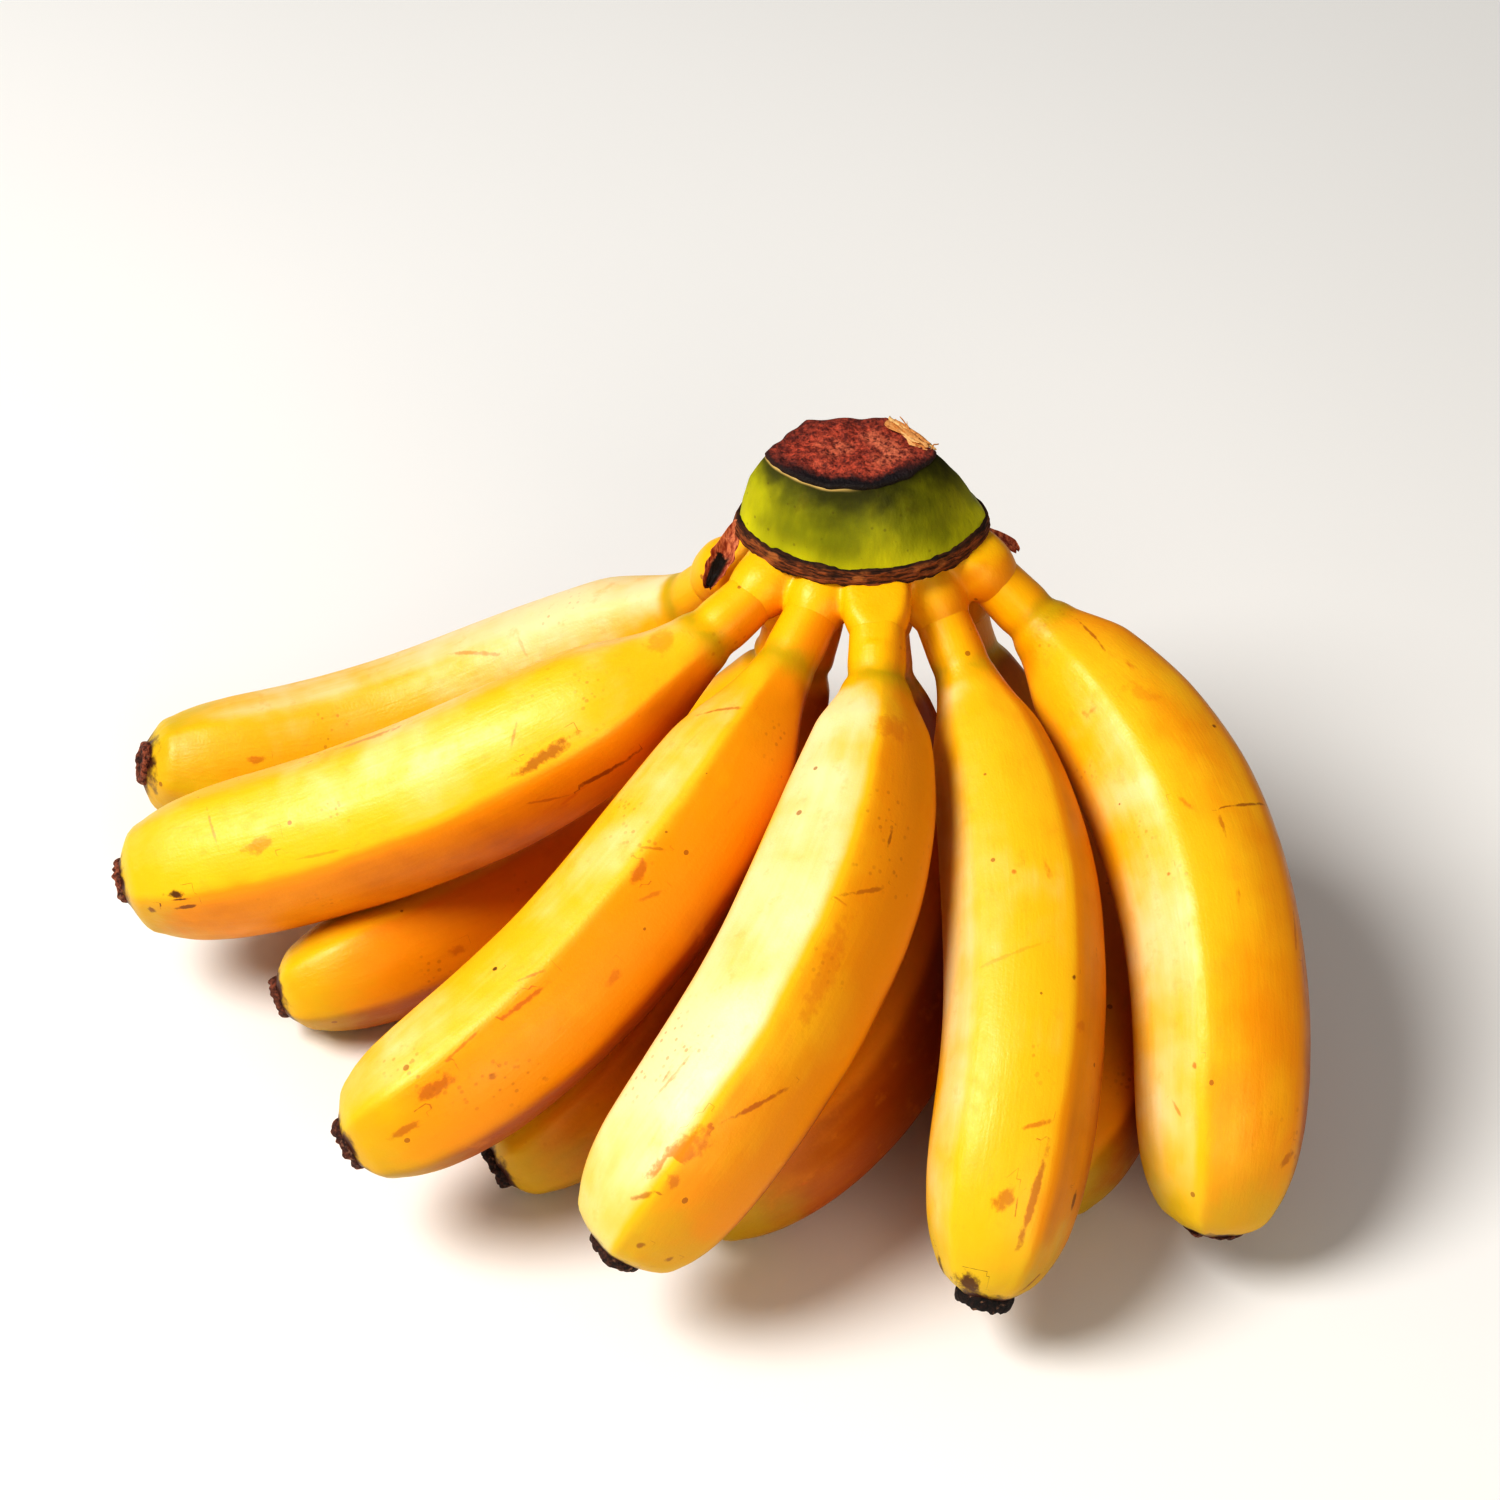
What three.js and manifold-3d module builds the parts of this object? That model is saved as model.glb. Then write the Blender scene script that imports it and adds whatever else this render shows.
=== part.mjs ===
// A hand of short, plump bananas: two rows of fingers grown together under one cut crown, lying on the
// floor as it rests. Millimetres; +Z is up, +X runs along the widest spread and the fingers fan out towards -Y.
import * as THREE from "three";
import Module from "manifold-3d";

const wasm = await Module();
wasm.setup();
const { Manifold, Mesh: SolidMesh } = wasm;

const CLEARANCE = 0.3; // free space left around every joint between two pieces

// Each finger's centreline starts at its root under the crown. Its heading (degrees from +X, counterclockwise
// seen from above) and its pitch (degrees above the horizon) are given at the root, halfway and at the end.
// The roll turns the cross-section: degrees from straight up, at mid length, to one of its five ridges.
// The nub is the radius of the dried remnant of the flower at its end.
const FINGERS = [
  {
    name: "upper_1", root: [-26.5, 3.5, 75], heading: [121, 185, 190], pitch: [-56, -24, 19],
    length: 157, radius: 15.8, roll: 60, nub: 4.3,
  },
  {
    name: "upper_2", root: [-17, -7.5, 83.5], heading: [226, 186, 188], pitch: [-21, -26, -6],
    length: 153, radius: 17.1, roll: 75, nub: 4.3,
  },
  {
    name: "upper_3", root: [-7, -11.5, 83.5], heading: [242, 230, 195], pitch: [-26, -22, -22],
    length: 149, radius: 16, roll: 62, nub: 5,
  },
  {
    name: "upper_4", root: [2.5, -17, 86], heading: [272, 246, 212], pitch: [-32, -20, -50],
    length: 146.5, radius: 17.1, roll: 56, nub: 5.2,
  },
  {
    name: "upper_5", root: [13, -8.5, 81], heading: [302, 271, 253], pitch: [-42, -17, -56],
    length: 149, radius: 15.9, roll: 38, nub: 5.4,
  },
  {
    name: "upper_6", root: [21.5, -4.5, 85], heading: [344, 285, 263], pitch: [-46, -18, -67],
    length: 154, radius: 17.4, roll: 25, nub: 5.6,
  },
  {
    name: "lower_1", root: [-15.5, 8, 66], heading: [162, 220, 187], pitch: [-107, -9, -18],
    length: 155, radius: 13.8, roll: 62, nub: 4.3,
  },
  {
    name: "lower_2", root: [-7.5, -1.5, 75], heading: [200, 250, 197], pitch: [-88, -18, -23],
    length: 148.5, radius: 14.5, roll: 52, nub: 4.2,
  },
  {
    name: "lower_3", root: [4.5, -2.5, 71.5], heading: [286, 261, 193], pitch: [-94, -11, -29],
    length: 154, radius: 15.6, roll: 45, nub: 4.5,
  },
  {
    name: "lower_4", root: [22, 10.5, 66.5], heading: [345, 281, 235], pitch: [-100, -7, -20],
    length: 163, radius: 15, roll: 25, nub: 4.5,
  },
];

const STEP = 1; // step along a centreline while it is added up
const NECK_LENGTH = 19; // the slim neck between the crown and the finger's body
const NECK_RADIUS = [5.1, 6.0]; // at the root and where the body starts
const NECK_RINGS = [0, 5, 10, 15, 18.4]; // distances from the root
const RIDGES = 5;
const FACE_RADIUS = 0.95; // middle of a face, as a share of the ridge's radius
// Body: share of its length from the neck's end, then the ridge's radius as a share of the full radius.
const BODY_PROFILE = [
  [0, 0.4], [0.03, 0.53], [0.07, 0.645], [0.12, 0.75], [0.19, 0.855], [0.26, 0.925], [0.33, 0.97],
  [0.4, 0.993], [0.48, 1], [0.56, 1], [0.64, 1], [0.72, 0.993], [0.79, 0.972], [0.85, 0.925],
  [0.9, 0.84], [0.935, 0.725], [0.962, 0.58],
];
const BODY_END = { share: 0.98, rim: 0.7 }; // the blunt end, this much wider than the nub on it

// The nub: distances from the finger's blunt end, then shares of the nub's radius.
const TIP_PROFILE = [[0, 0.94], [0.9, 1], [1.8, 0.93], [2.6, 0.66]];
const TIP_SIDES = 10;
const TIP_RAGGED = 0.12; // every other edge of its open end is shorter by this share

// The crown, from its underside to the cut: height, half-width along X and Y, and centre. Its outline is an
// ellipse drawn in towards a corner at either end: the corner is 1 for a plain ellipse and more when sharper.
const CROWN_SECTIONS = [
  { z: 70, halfX: 7, halfY: 5, x: 1, y: 5, corner: 1 },
  { z: 74, halfX: 15, halfY: 10, x: 0, y: 4, corner: 1 },
  { z: 80, halfX: 21, halfY: 14, x: 0, y: 2, corner: 1 },
  { z: 85, halfX: 23.8, halfY: 16, x: 0, y: 0.5, corner: 1.1 },
  { z: 88.6, halfX: 24.6, halfY: 17, x: 0, y: 0, corner: 1.2 },
  { z: 91.8, halfX: 24.2, halfY: 16.4, x: 0, y: 0, corner: 1.25 },
  { z: 96, halfX: 22.2, halfY: 14.8, x: -1.2, y: 0.2, corner: 1.3 },
  { z: 101, halfX: 20.2, halfY: 12.9, x: -1.8, y: 0.6, corner: 1.35 },
  { z: 104.5, halfX: 17.9, halfY: 11.6, x: -2.1, y: 0.9, corner: 1.4 },
  { z: 106.4, halfX: 16.4, halfY: 10.9, x: -2.4, y: 1, corner: 1.45 },
];
const CROWN_SIDES = 28;

// Under the scar the crown swells into one knuckle around each neck.
const KNUCKLE_INSIDE = { share: 0.4, height: 84, radius: 8 }; // how far out from the axis it starts
const KNUCKLE_REACH = 3.6; // how far along the neck it goes
const KNUCKLE_RADIUS = 6.7;
const KNUCKLE_SIDES = 10;
const KNUCKLE_LATITUDES = [65, 35, 0]; // rings that round off either end, in degrees
const SOCKET_RINGS = [-1, 1.5, 4, 6.5, 9, 11.5, 14, 16.5]; // distances from the neck's root; the first is free space behind it

const CUT = { top: 107.8, bottom: 106.7, inset: 0.7 }; // dry callus that seals the cut
const SCAR = { bottom: 88.6, top: 91.8, proud: 0.8, seat: 1.1 }; // corky line left by the fallen bract

// Dry scraps of the bract: a strip of cross-sections, each a centre and a half-width. It is as wide as that
// along its own heading (degrees from +X, seen from above).
const SCRAP_THICKNESS = 1.2;
const FLAP_LEFT = {
  heading: -15,
  sections: [
    { centre: [-26.9, -1.6, 91.4], half: 0.9 },
    { centre: [-27.4, -2.6, 88.4], half: 1.8 },
    { centre: [-28.1, -3.9, 84], half: 2.7 },
    { centre: [-29, -4.7, 80.4], half: 2.5 },
    { centre: [-30, -4.9, 77.6], half: 1 },
  ],
};
const SCRAP_RIGHT = {
  heading: 70,
  sections: [
    { centre: [27.4, 2.4, 85.8], half: 1.6 },
    { centre: [29.2, 2.6, 84], half: 2.2 },
    { centre: [30.8, 3, 81.8], half: 1 },
  ],
};

// A torn strip of fibres that stands against the cut's edge.
const FIBRE = { from: 4, to: 62, steps: 8, bottom: 104.2, top: 108.8, thickness: 0.9, gap: 0.4 };

const COLOURS = {
  peel: 0xf2b51c,
  crown: 0x8a9a1e,
  callus: 0x6e2c20,
  scar: 0x54301a,
  bract: 0x7c4426,
  fibre: 0xc9a878,
  tip: 0x33201a,
};

const radians = THREE.MathUtils.degToRad;

function material(colour, roughness) {
  return new THREE.MeshStandardMaterial({ color: colour, roughness, metalness: 0 });
}

const MATERIALS = {
  peel: material(COLOURS.peel, 0.45),
  crown: material(COLOURS.crown, 0.55),
  callus: material(COLOURS.callus, 0.9),
  scar: material(COLOURS.scar, 0.9),
  bract: material(COLOURS.bract, 0.85),
  fibre: material(COLOURS.fibre, 0.85),
  tip: material(COLOURS.tip, 0.95),
};

// The value of a quadratic that passes through three values: at the start, halfway and at the end.
function through([start, middle, end], share) {
  const first = 2 * (share - 0.5) * (share - 1);
  const second = -4 * share * (share - 1);
  const third = 2 * share * (share - 0.5);
  return start * first + middle * second + end * third;
}

// Linear reading of a table of [position, value] rows.
function readTable(table, at) {
  const next = table.findIndex(([position]) => position >= at);
  if (next < 0) return table[table.length - 1][1];
  if (next === 0) return table[0][1];
  const [before, low] = table[next - 1];
  const [after, high] = table[next];
  return low + ((high - low) * (at - before)) / (after - before);
}

function directionOf(finger, share) {
  const heading = radians(through(finger.heading, share));
  const pitch = radians(through(finger.pitch, share));
  const level = Math.cos(pitch);
  return new THREE.Vector3(level * Math.cos(heading), level * Math.sin(heading), Math.sin(pitch));
}

// The centreline as a list of { point, direction, across, above }, one per STEP. The two last vectors span
// the cross-section; they are set at mid length and carried to both ends without twisting.
function centreline(finger) {
  const count = Math.round(finger.length / STEP);
  const line = [];
  const point = new THREE.Vector3(...finger.root);
  for (let i = 0; i <= count; i++) {
    line.push({ point: point.clone(), direction: directionOf(finger, i / count) });
    point.addScaledVector(directionOf(finger, (i + 0.5) / count), finger.length / count);
  }
  const middle = Math.round(count / 2);
  const across = new THREE.Vector3(0, 0, 1).cross(line[middle].direction).negate().normalize();
  line[middle].across = across;
  for (let i = middle + 1; i <= count; i++) line[i].across = carried(line[i - 1].across, line[i].direction);
  for (let i = middle - 1; i >= 0; i--) line[i].across = carried(line[i + 1].across, line[i].direction);
  for (const station of line) {
    station.above = station.across.clone().cross(station.direction).normalize();
  }
  return line;
}

function carried(across, direction) {
  return across.clone().addScaledVector(direction, -across.dot(direction)).normalize();
}

// The station at a distance from the root, between two stored ones; it may lie a little before the root.
function stationAt(line, distance) {
  const low = THREE.MathUtils.clamp(Math.floor(distance / STEP), 0, line.length - 2);
  const share = distance / STEP - low;
  const mix = (key) => line[low][key].clone().lerp(line[low + 1][key], share);
  return {
    point: mix("point"),
    direction: mix("direction").normalize(),
    across: mix("across").normalize(),
    above: mix("above").normalize(),
  };
}

// A point of a cross-section: angle from straight up towards the right, seen along the finger.
function sectionPoint(station, angle, radius) {
  return station.point
    .clone()
    .addScaledVector(station.above, radius * Math.cos(angle))
    .addScaledVector(station.across, radius * Math.sin(angle));
}

// A closed skin over rings of equally many points, with a pole in the middle of the first and last ring.
function skin(rings) {
  const sides = rings[0].length;
  const positions = rings.flat().flatMap((p) => [p.x, p.y, p.z]);
  const triangles = [];
  for (let r = 0; r + 1 < rings.length; r++) {
    for (let i = 0; i < sides; i++) {
      const a = r * sides + i;
      const b = r * sides + ((i + 1) % sides);
      triangles.push(a, b, b + sides, a, b + sides, a + sides);
    }
  }
  const poles = [rings[0], rings[rings.length - 1]].map((ring) => {
    const middle = ring.reduce((sum, p) => sum.add(p), new THREE.Vector3()).divideScalar(sides);
    positions.push(middle.x, middle.y, middle.z);
    return positions.length / 3 - 1;
  });
  const last = (rings.length - 1) * sides;
  for (let i = 0; i < sides; i++) {
    const j = (i + 1) % sides;
    triangles.push(poles[0], j, i, poles[1], last + i, last + j);
  }
  return solidFrom(positions, triangles);
}

function solidFrom(positions, triangles) {
  const made = (order) =>
    new Manifold(
      new SolidMesh({ numProp: 3, vertProperties: Float32Array.from(positions), triVerts: Uint32Array.from(order) }),
    );
  const solid = made(triangles);
  return solid.volume() > 0 ? solid : made([...triangles].reverse());
}

function neckRadius(distance) {
  return THREE.MathUtils.lerp(NECK_RADIUS[0], NECK_RADIUS[1], distance / NECK_LENGTH);
}

function fingerRing(line, finger, distance, radius) {
  const station = stationAt(line, distance);
  return Array.from({ length: 2 * RIDGES }, (_, i) => {
    const angle = radians(finger.roll) + (i * Math.PI) / RIDGES;
    return sectionPoint(station, angle, i % 2 ? radius * FACE_RADIUS : radius);
  });
}

// Where the body's blunt end lies, as a distance from the root.
function bodyEnd(finger) {
  return NECK_LENGTH + BODY_END.share * (finger.length - NECK_LENGTH);
}

function fingerSolid(finger, line) {
  const body = finger.length - NECK_LENGTH;
  const rings = NECK_RINGS.map((s) => fingerRing(line, finger, s, neckRadius(s)));
  for (const [share, size] of BODY_PROFILE) {
    rings.push(fingerRing(line, finger, NECK_LENGTH + share * body, size * finger.radius));
  }
  rings.push(fingerRing(line, finger, bodyEnd(finger), finger.nub + BODY_END.rim));
  return skin(rings);
}

function tipSolid(finger, line) {
  const start = bodyEnd(finger) + CLEARANCE;
  const rings = TIP_PROFILE.map(([along, size], ring) => {
    const last = ring === TIP_PROFILE.length - 1;
    return Array.from({ length: TIP_SIDES }, (_, i) => {
      const cut = last && i % 2 ? TIP_RAGGED * along : 0;
      const station = stationAt(line, start + along - cut);
      return sectionPoint(station, (2 * Math.PI * i) / TIP_SIDES, size * finger.nub);
    });
  });
  return skin(rings);
}

// The space a neck takes in the crown, with clearance all round.
function socketSolid(line) {
  return skin(
    SOCKET_RINGS.map((s) => {
      const station = stationAt(line, s);
      return Array.from({ length: KNUCKLE_SIDES }, (_, i) =>
        sectionPoint(station, (2 * Math.PI * i) / KNUCKLE_SIDES, neckRadius(s) + 2 * CLEARANCE),
      );
    }),
  );
}

// A rod with rounded ends that goes from one ball to another.
function rodSolid(from, to, radiusFrom, radiusTo) {
  const direction = to.clone().sub(from).normalize();
  const side = new THREE.Vector3(0, 0, 1).cross(direction).normalize();
  const other = direction.clone().cross(side);
  const ring = (middle, radius, latitude) => {
    const centre = middle.clone().addScaledVector(direction, radius * Math.sin(radians(latitude)));
    const reach = radius * Math.cos(radians(latitude));
    return Array.from({ length: KNUCKLE_SIDES }, (_, i) => {
      const angle = (2 * Math.PI * i) / KNUCKLE_SIDES;
      return centre
        .clone()
        .addScaledVector(side, reach * Math.cos(angle))
        .addScaledVector(other, reach * Math.sin(angle));
    });
  };
  const start = KNUCKLE_LATITUDES.map((latitude) => ring(from, radiusFrom, -latitude));
  const finish = KNUCKLE_LATITUDES.map((latitude) => ring(to, radiusTo, latitude)).reverse();
  return skin([...start, ...finish]);
}

function knuckleSolid(finger, line) {
  const { share, height, radius } = KNUCKLE_INSIDE;
  const inner = new THREE.Vector3(finger.root[0] * share, finger.root[1] * share, height);
  return rodSolid(inner, stationAt(line, KNUCKLE_REACH).point, radius, KNUCKLE_RADIUS);
}

// The point of the crown's outline at an angle, moved outwards by the given amount.
function crownPoint(section, angle, outwards) {
  const rise = Math.sign(Math.sin(angle)) * Math.abs(Math.sin(angle)) ** section.corner;
  const x = section.x + (section.halfX + outwards) * Math.cos(angle);
  return new THREE.Vector3(x, section.y + (section.halfY + outwards) * rise, section.z);
}

function crownRing(section, outwards) {
  return Array.from({ length: CROWN_SIDES }, (_, i) => crownPoint(section, (2 * Math.PI * i) / CROWN_SIDES, outwards));
}

function crownSectionAt(z) {
  const read = (key) => readTable(CROWN_SECTIONS.map((s) => [s.z, s[key]]), z);
  return { z, halfX: read("halfX"), halfY: read("halfY"), x: read("x"), y: read("y"), corner: read("corner") };
}

// A ring-shaped band around the crown between two heights and two offsets from its side.
function bandSolid(bottom, top, outside, inside) {
  const ends = [crownSectionAt(bottom), crownSectionAt(top)];
  const outer = skin(ends.map((s) => crownRing(s, outside)));
  const overrun = [{ ...ends[0], z: bottom - 1 }, { ...ends[1], z: top + 1 }];
  return outer.subtract(skin(overrun.map((s) => crownRing(s, inside))));
}

function scarSolid() {
  return bandSolid(SCAR.bottom, SCAR.top, SCAR.proud, -SCAR.seat);
}

function crownSolid(lines) {
  const flank = skin(CROWN_SECTIONS.map((s) => crownRing(s, 0)));
  const knuckles = FINGERS.map((finger) => knuckleSolid(finger, lines.get(finger)));
  const sockets = FINGERS.map((finger) => socketSolid(lines.get(finger)));
  const farOut = 20;
  const groove = bandSolid(SCAR.bottom - CLEARANCE, SCAR.top + CLEARANCE, farOut, -SCAR.seat - CLEARANCE);
  const whole = Manifold.union([flank, ...knuckles]).subtract(Manifold.union([groove, ...sockets]));
  return whole.decompose().sort((a, b) => b.volume() - a.volume())[0];
}

function callusSolid() {
  const rim = crownSectionAt(CUT.bottom);
  const rings = [
    crownRing({ ...rim, z: CUT.bottom }, 0),
    crownRing({ ...rim, z: (CUT.bottom + CUT.top) / 2 }, 0),
    crownRing({ ...rim, z: CUT.top }, -CUT.inset),
  ];
  return skin(rings);
}

// A thin strip with four corners per cross-section.
function scrapSolid({ heading, sections }) {
  const turn = radians(heading);
  const along = new THREE.Vector3(Math.cos(turn), Math.sin(turn), 0);
  const through = new THREE.Vector3(-along.y, along.x, 0).multiplyScalar(SCRAP_THICKNESS / 2);
  return skin(
    sections.map(({ centre, half }) => {
      const corner = (side, face) =>
        new THREE.Vector3(...centre).addScaledVector(along, side * half).addScaledVector(through, face);
      return [corner(-1, -1), corner(1, -1), corner(1, 1), corner(-1, 1)];
    }),
  );
}

function fibreSolid() {
  const rings = [];
  for (let i = 0; i <= FIBRE.steps; i++) {
    const share = i / FIBRE.steps;
    const angle = radians(THREE.MathUtils.lerp(FIBRE.from, FIBRE.to, share));
    const top = THREE.MathUtils.lerp(FIBRE.bottom + 1.6, FIBRE.top, Math.sin(Math.PI * share));
    const corner = (z, out) => crownPoint(crownSectionAt(z), angle, out);
    const near = FIBRE.gap;
    const far = FIBRE.gap + FIBRE.thickness;
    rings.push([corner(FIBRE.bottom, near), corner(FIBRE.bottom, far), corner(top, far), corner(top, near)]);
  }
  return skin(rings);
}

function meshOf(name, solid, look) {
  const { vertProperties, triVerts } = solid.getMesh();
  const geometry = new THREE.BufferGeometry();
  geometry.setAttribute("position", new THREE.BufferAttribute(Float32Array.from(vertProperties), 3));
  geometry.setIndex(new THREE.BufferAttribute(Uint32Array.from(triVerts), 1));
  geometry.computeVertexNormals();
  const mesh = new THREE.Mesh(geometry, look);
  mesh.name = name;
  return mesh;
}

const group = new THREE.Group();
const lines = new Map(FINGERS.map((finger) => [finger, centreline(finger)]));

for (const finger of FINGERS) {
  group.add(meshOf(`finger_${finger.name}`, fingerSolid(finger, lines.get(finger)), MATERIALS.peel));
  group.add(meshOf(`tip_${finger.name}`, tipSolid(finger, lines.get(finger)), MATERIALS.tip));
}
group.add(meshOf("crown", crownSolid(lines), MATERIALS.crown));
group.add(meshOf("crown_callus", callusSolid(), MATERIALS.callus));
group.add(meshOf("bract_scar", scarSolid(), MATERIALS.scar));
group.add(meshOf("bract_flap_left", scrapSolid(FLAP_LEFT), MATERIALS.bract));
group.add(meshOf("bract_scrap_right", scrapSolid(SCRAP_RIGHT), MATERIALS.bract));
group.add(meshOf("torn_fibre", fibreSolid(), MATERIALS.fibre));

// The origin lies under the middle of the bounding box, on the floor.
const box = new THREE.Box3().setFromObject(group);
const middle = box.getCenter(new THREE.Vector3());
group.position.set(-middle.x, -middle.y, -box.min.z);

export default group;
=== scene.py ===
import itertools
import math

import bpy
import numpy as np
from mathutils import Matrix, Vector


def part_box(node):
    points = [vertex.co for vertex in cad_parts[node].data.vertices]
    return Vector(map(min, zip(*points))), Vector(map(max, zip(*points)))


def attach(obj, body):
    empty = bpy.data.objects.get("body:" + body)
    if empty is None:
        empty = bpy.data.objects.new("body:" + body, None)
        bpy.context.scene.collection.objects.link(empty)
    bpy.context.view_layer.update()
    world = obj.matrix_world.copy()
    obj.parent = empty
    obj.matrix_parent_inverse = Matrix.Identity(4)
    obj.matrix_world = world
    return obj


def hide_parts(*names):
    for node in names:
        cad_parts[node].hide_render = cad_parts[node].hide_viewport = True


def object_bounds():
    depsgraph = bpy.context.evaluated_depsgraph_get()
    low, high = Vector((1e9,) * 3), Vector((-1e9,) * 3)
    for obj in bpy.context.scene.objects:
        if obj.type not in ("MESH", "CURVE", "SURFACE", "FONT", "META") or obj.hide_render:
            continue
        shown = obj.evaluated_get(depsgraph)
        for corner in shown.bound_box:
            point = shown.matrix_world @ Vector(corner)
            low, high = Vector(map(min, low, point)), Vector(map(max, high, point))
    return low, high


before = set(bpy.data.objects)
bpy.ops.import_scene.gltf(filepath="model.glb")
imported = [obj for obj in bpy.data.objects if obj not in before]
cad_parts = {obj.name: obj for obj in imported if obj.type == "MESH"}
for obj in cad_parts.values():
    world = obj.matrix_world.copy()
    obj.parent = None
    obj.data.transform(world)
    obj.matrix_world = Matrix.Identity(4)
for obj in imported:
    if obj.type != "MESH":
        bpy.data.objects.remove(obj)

CAD_LOW, CAD_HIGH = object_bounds()
MM = 0.001

UPPER = [f"upper_{i}" for i in range(1, 7)]
LOWER = [f"lower_{i}" for i in range(1, 5)]

# ---------------------------------------------------------------- small mathematics

CELL_PRIMES = (73856093, 19349663, 83492791)  # large primes that scatter a noise cell's number
SEED_PRIME, MIX_PRIME = 39916801, 1274126177


def smooth(low, high, value):
    """0 below low, 1 above high, and a soft step between them."""
    t = np.clip((np.asarray(value, float) - low) / (high - low), 0, 1)
    return t * t * (3 - 2 * t)


def unit(vectors):
    return vectors / np.linalg.norm(vectors, axis=-1, keepdims=True)


def full_turn(count):
    """Angles all the way round, evenly spaced."""
    return np.linspace(0, 2 * np.pi, count, endpoint=False)


def in_mm(box):
    return [np.array(corner) / MM for corner in box]


def columns(values, count):
    """One value for each row, repeated along the row."""
    return np.repeat(values[:, None], count, 1)


def curve_through(knots, values, at):
    """A smooth curve through values (n or n,3) given at increasing knots, read at other places."""
    knots = np.asarray(knots, float)
    values = np.asarray(values, float)
    flat = values.ndim == 1
    if flat:
        values = values[:, None]
    slope = np.gradient(values, knots, axis=0)
    i = np.clip(np.searchsorted(knots, at) - 1, 0, len(knots) - 2)
    width = (knots[i + 1] - knots[i])[:, None]
    t = ((at - knots[i]) / (knots[i + 1] - knots[i]))[:, None]
    start = (1 + 2 * t) * (1 - t) ** 2 * values[i] + t * (1 - t) ** 2 * width * slope[i]
    end = t * t * (3 - 2 * t) * values[i + 1] + t * t * (t - 1) * width * slope[i + 1]
    return (start + end)[:, 0] if flat else start + end


def lumps(points, size, seed):
    """Smooth noise from -1 to 1 at points (..., 3), with bumps about as wide as size. Always the same."""
    shape = points.shape[:-1]
    p = points.reshape(-1, 3) / size
    corner = np.floor(p).astype(np.int64)
    f = p - corner
    f = f * f * (3 - 2 * f)
    total = np.zeros(len(p))
    for offset in itertools.product((0, 1), repeat=3):
        cell = corner + offset
        code = np.bitwise_xor.reduce(cell * CELL_PRIMES, axis=1) ^ seed * SEED_PRIME
        code = (code ^ (code >> 13)) * MIX_PRIME & 0xFFFFFFFF
        code = (code ^ (code >> 16)) & 0xFFFF
        weight = np.prod(np.where(offset, f, 1 - f), axis=1)
        total += (code / 32767.5 - 1) * weight
    return total.reshape(shape)


# ---------------------------------------------------------------- meshes


def paint(thing, attributes):
    """Gives each vertex the numbers or vectors that the materials read."""
    for key, values in attributes.items():
        values = np.asarray(values, np.float32)
        vector = values.shape[-1] == 3 and values.size == 3 * len(thing.data.vertices)
        layer = thing.data.attributes.new(key, "FLOAT_VECTOR" if vector else "FLOAT", "POINT")
        layer.data.foreach_set("vector" if vector else "value", values.reshape(-1))


def mesh_object(name, points, faces):
    """A smooth-shaded object; the points are in millimetres."""
    mesh = bpy.data.meshes.new(name)
    mesh.from_pydata((points * MM).tolist(), [], faces)
    mesh.polygons.foreach_set("use_smooth", [True] * len(mesh.polygons))
    mesh.update()
    thing = bpy.data.objects.new(name, mesh)
    bpy.context.scene.collection.objects.link(thing)
    return thing


def tubes(name, blocks, attributes, ring=False):
    """One closed skin for each block of rows of points (blocks, rows, columns, 3). The first and the last row
    are capped, or joined to each other when the rows go round in a ring."""
    blocks = np.asarray(blocks, float)
    _, count, around = blocks.shape[:3]
    index = np.arange(blocks.size // 3).reshape(blocks.shape[:3])
    right = np.roll(index, -1, axis=2)
    quads = np.stack([index, right, np.roll(right, -1, axis=1), np.roll(index, -1, axis=1)], -1)
    faces = quads[:, : count if ring else count - 1].reshape(-1, 4).tolist()
    if not ring:
        faces += index[:, 0, ::-1].tolist() + index[:, -1].tolist()
    thing = mesh_object(name, blocks.reshape(-1, 3), faces)
    paint(thing, attributes)
    return thing


def loft(name, rows, attributes):
    return tubes(name, np.asarray(rows)[None], attributes)


def ring_loft(name, rows, attributes):
    return tubes(name, np.asarray(rows)[None], attributes, ring=True)


def field_skin(name, field, low, high, step):
    """The closed surface where a field of points is zero, with one vertex in each grid cell it crosses."""
    axes = [np.arange(low[i], high[i] + step, step) for i in range(3)]
    grid = np.stack(np.meshgrid(*axes, indexing="ij"), -1)
    value = field(grid)
    cells = tuple(n - 1 for n in value.shape)
    total = np.zeros((*cells, 3))
    count = np.zeros(cells)
    quads = []
    for axis in range(3):
        first = np.moveaxis(value, axis, 0)[:-1]
        second = np.moveaxis(value, axis, 0)[1:]
        start = np.argwhere(np.moveaxis((first < 0) != (second < 0), 0, axis))
        start = start[np.all((start > 0) & (start < np.array(cells)), axis=1)]
        ahead, side, other = (np.eye(3, dtype=int)[(axis + turn) % 3] for turn in range(3))
        a = value[tuple(start.T)]
        b = value[tuple((start + ahead).T)]
        point = grid[tuple(start.T)] + (a / (a - b))[:, None] * ahead * step
        around = [start - i * side - j * other for i, j in ((0, 0), (1, 0), (1, 1), (0, 1))]
        for cell in around:
            np.add.at(total, tuple(cell.T), point)
            np.add.at(count, tuple(cell.T), 1)
        corners = np.stack([np.ravel_multi_index(tuple(cell.T), cells) for cell in around], 1)
        quads.append(np.where((a < 0)[:, None], corners, corners[:, ::-1]))
    used = np.flatnonzero(count)
    number = np.full(count.size, -1)
    number[used] = np.arange(len(used))
    points = total.reshape(-1, 3)[used] / count.reshape(-1, 1)[used]
    return mesh_object(name, points, number[np.concatenate(quads)].tolist()), points


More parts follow.
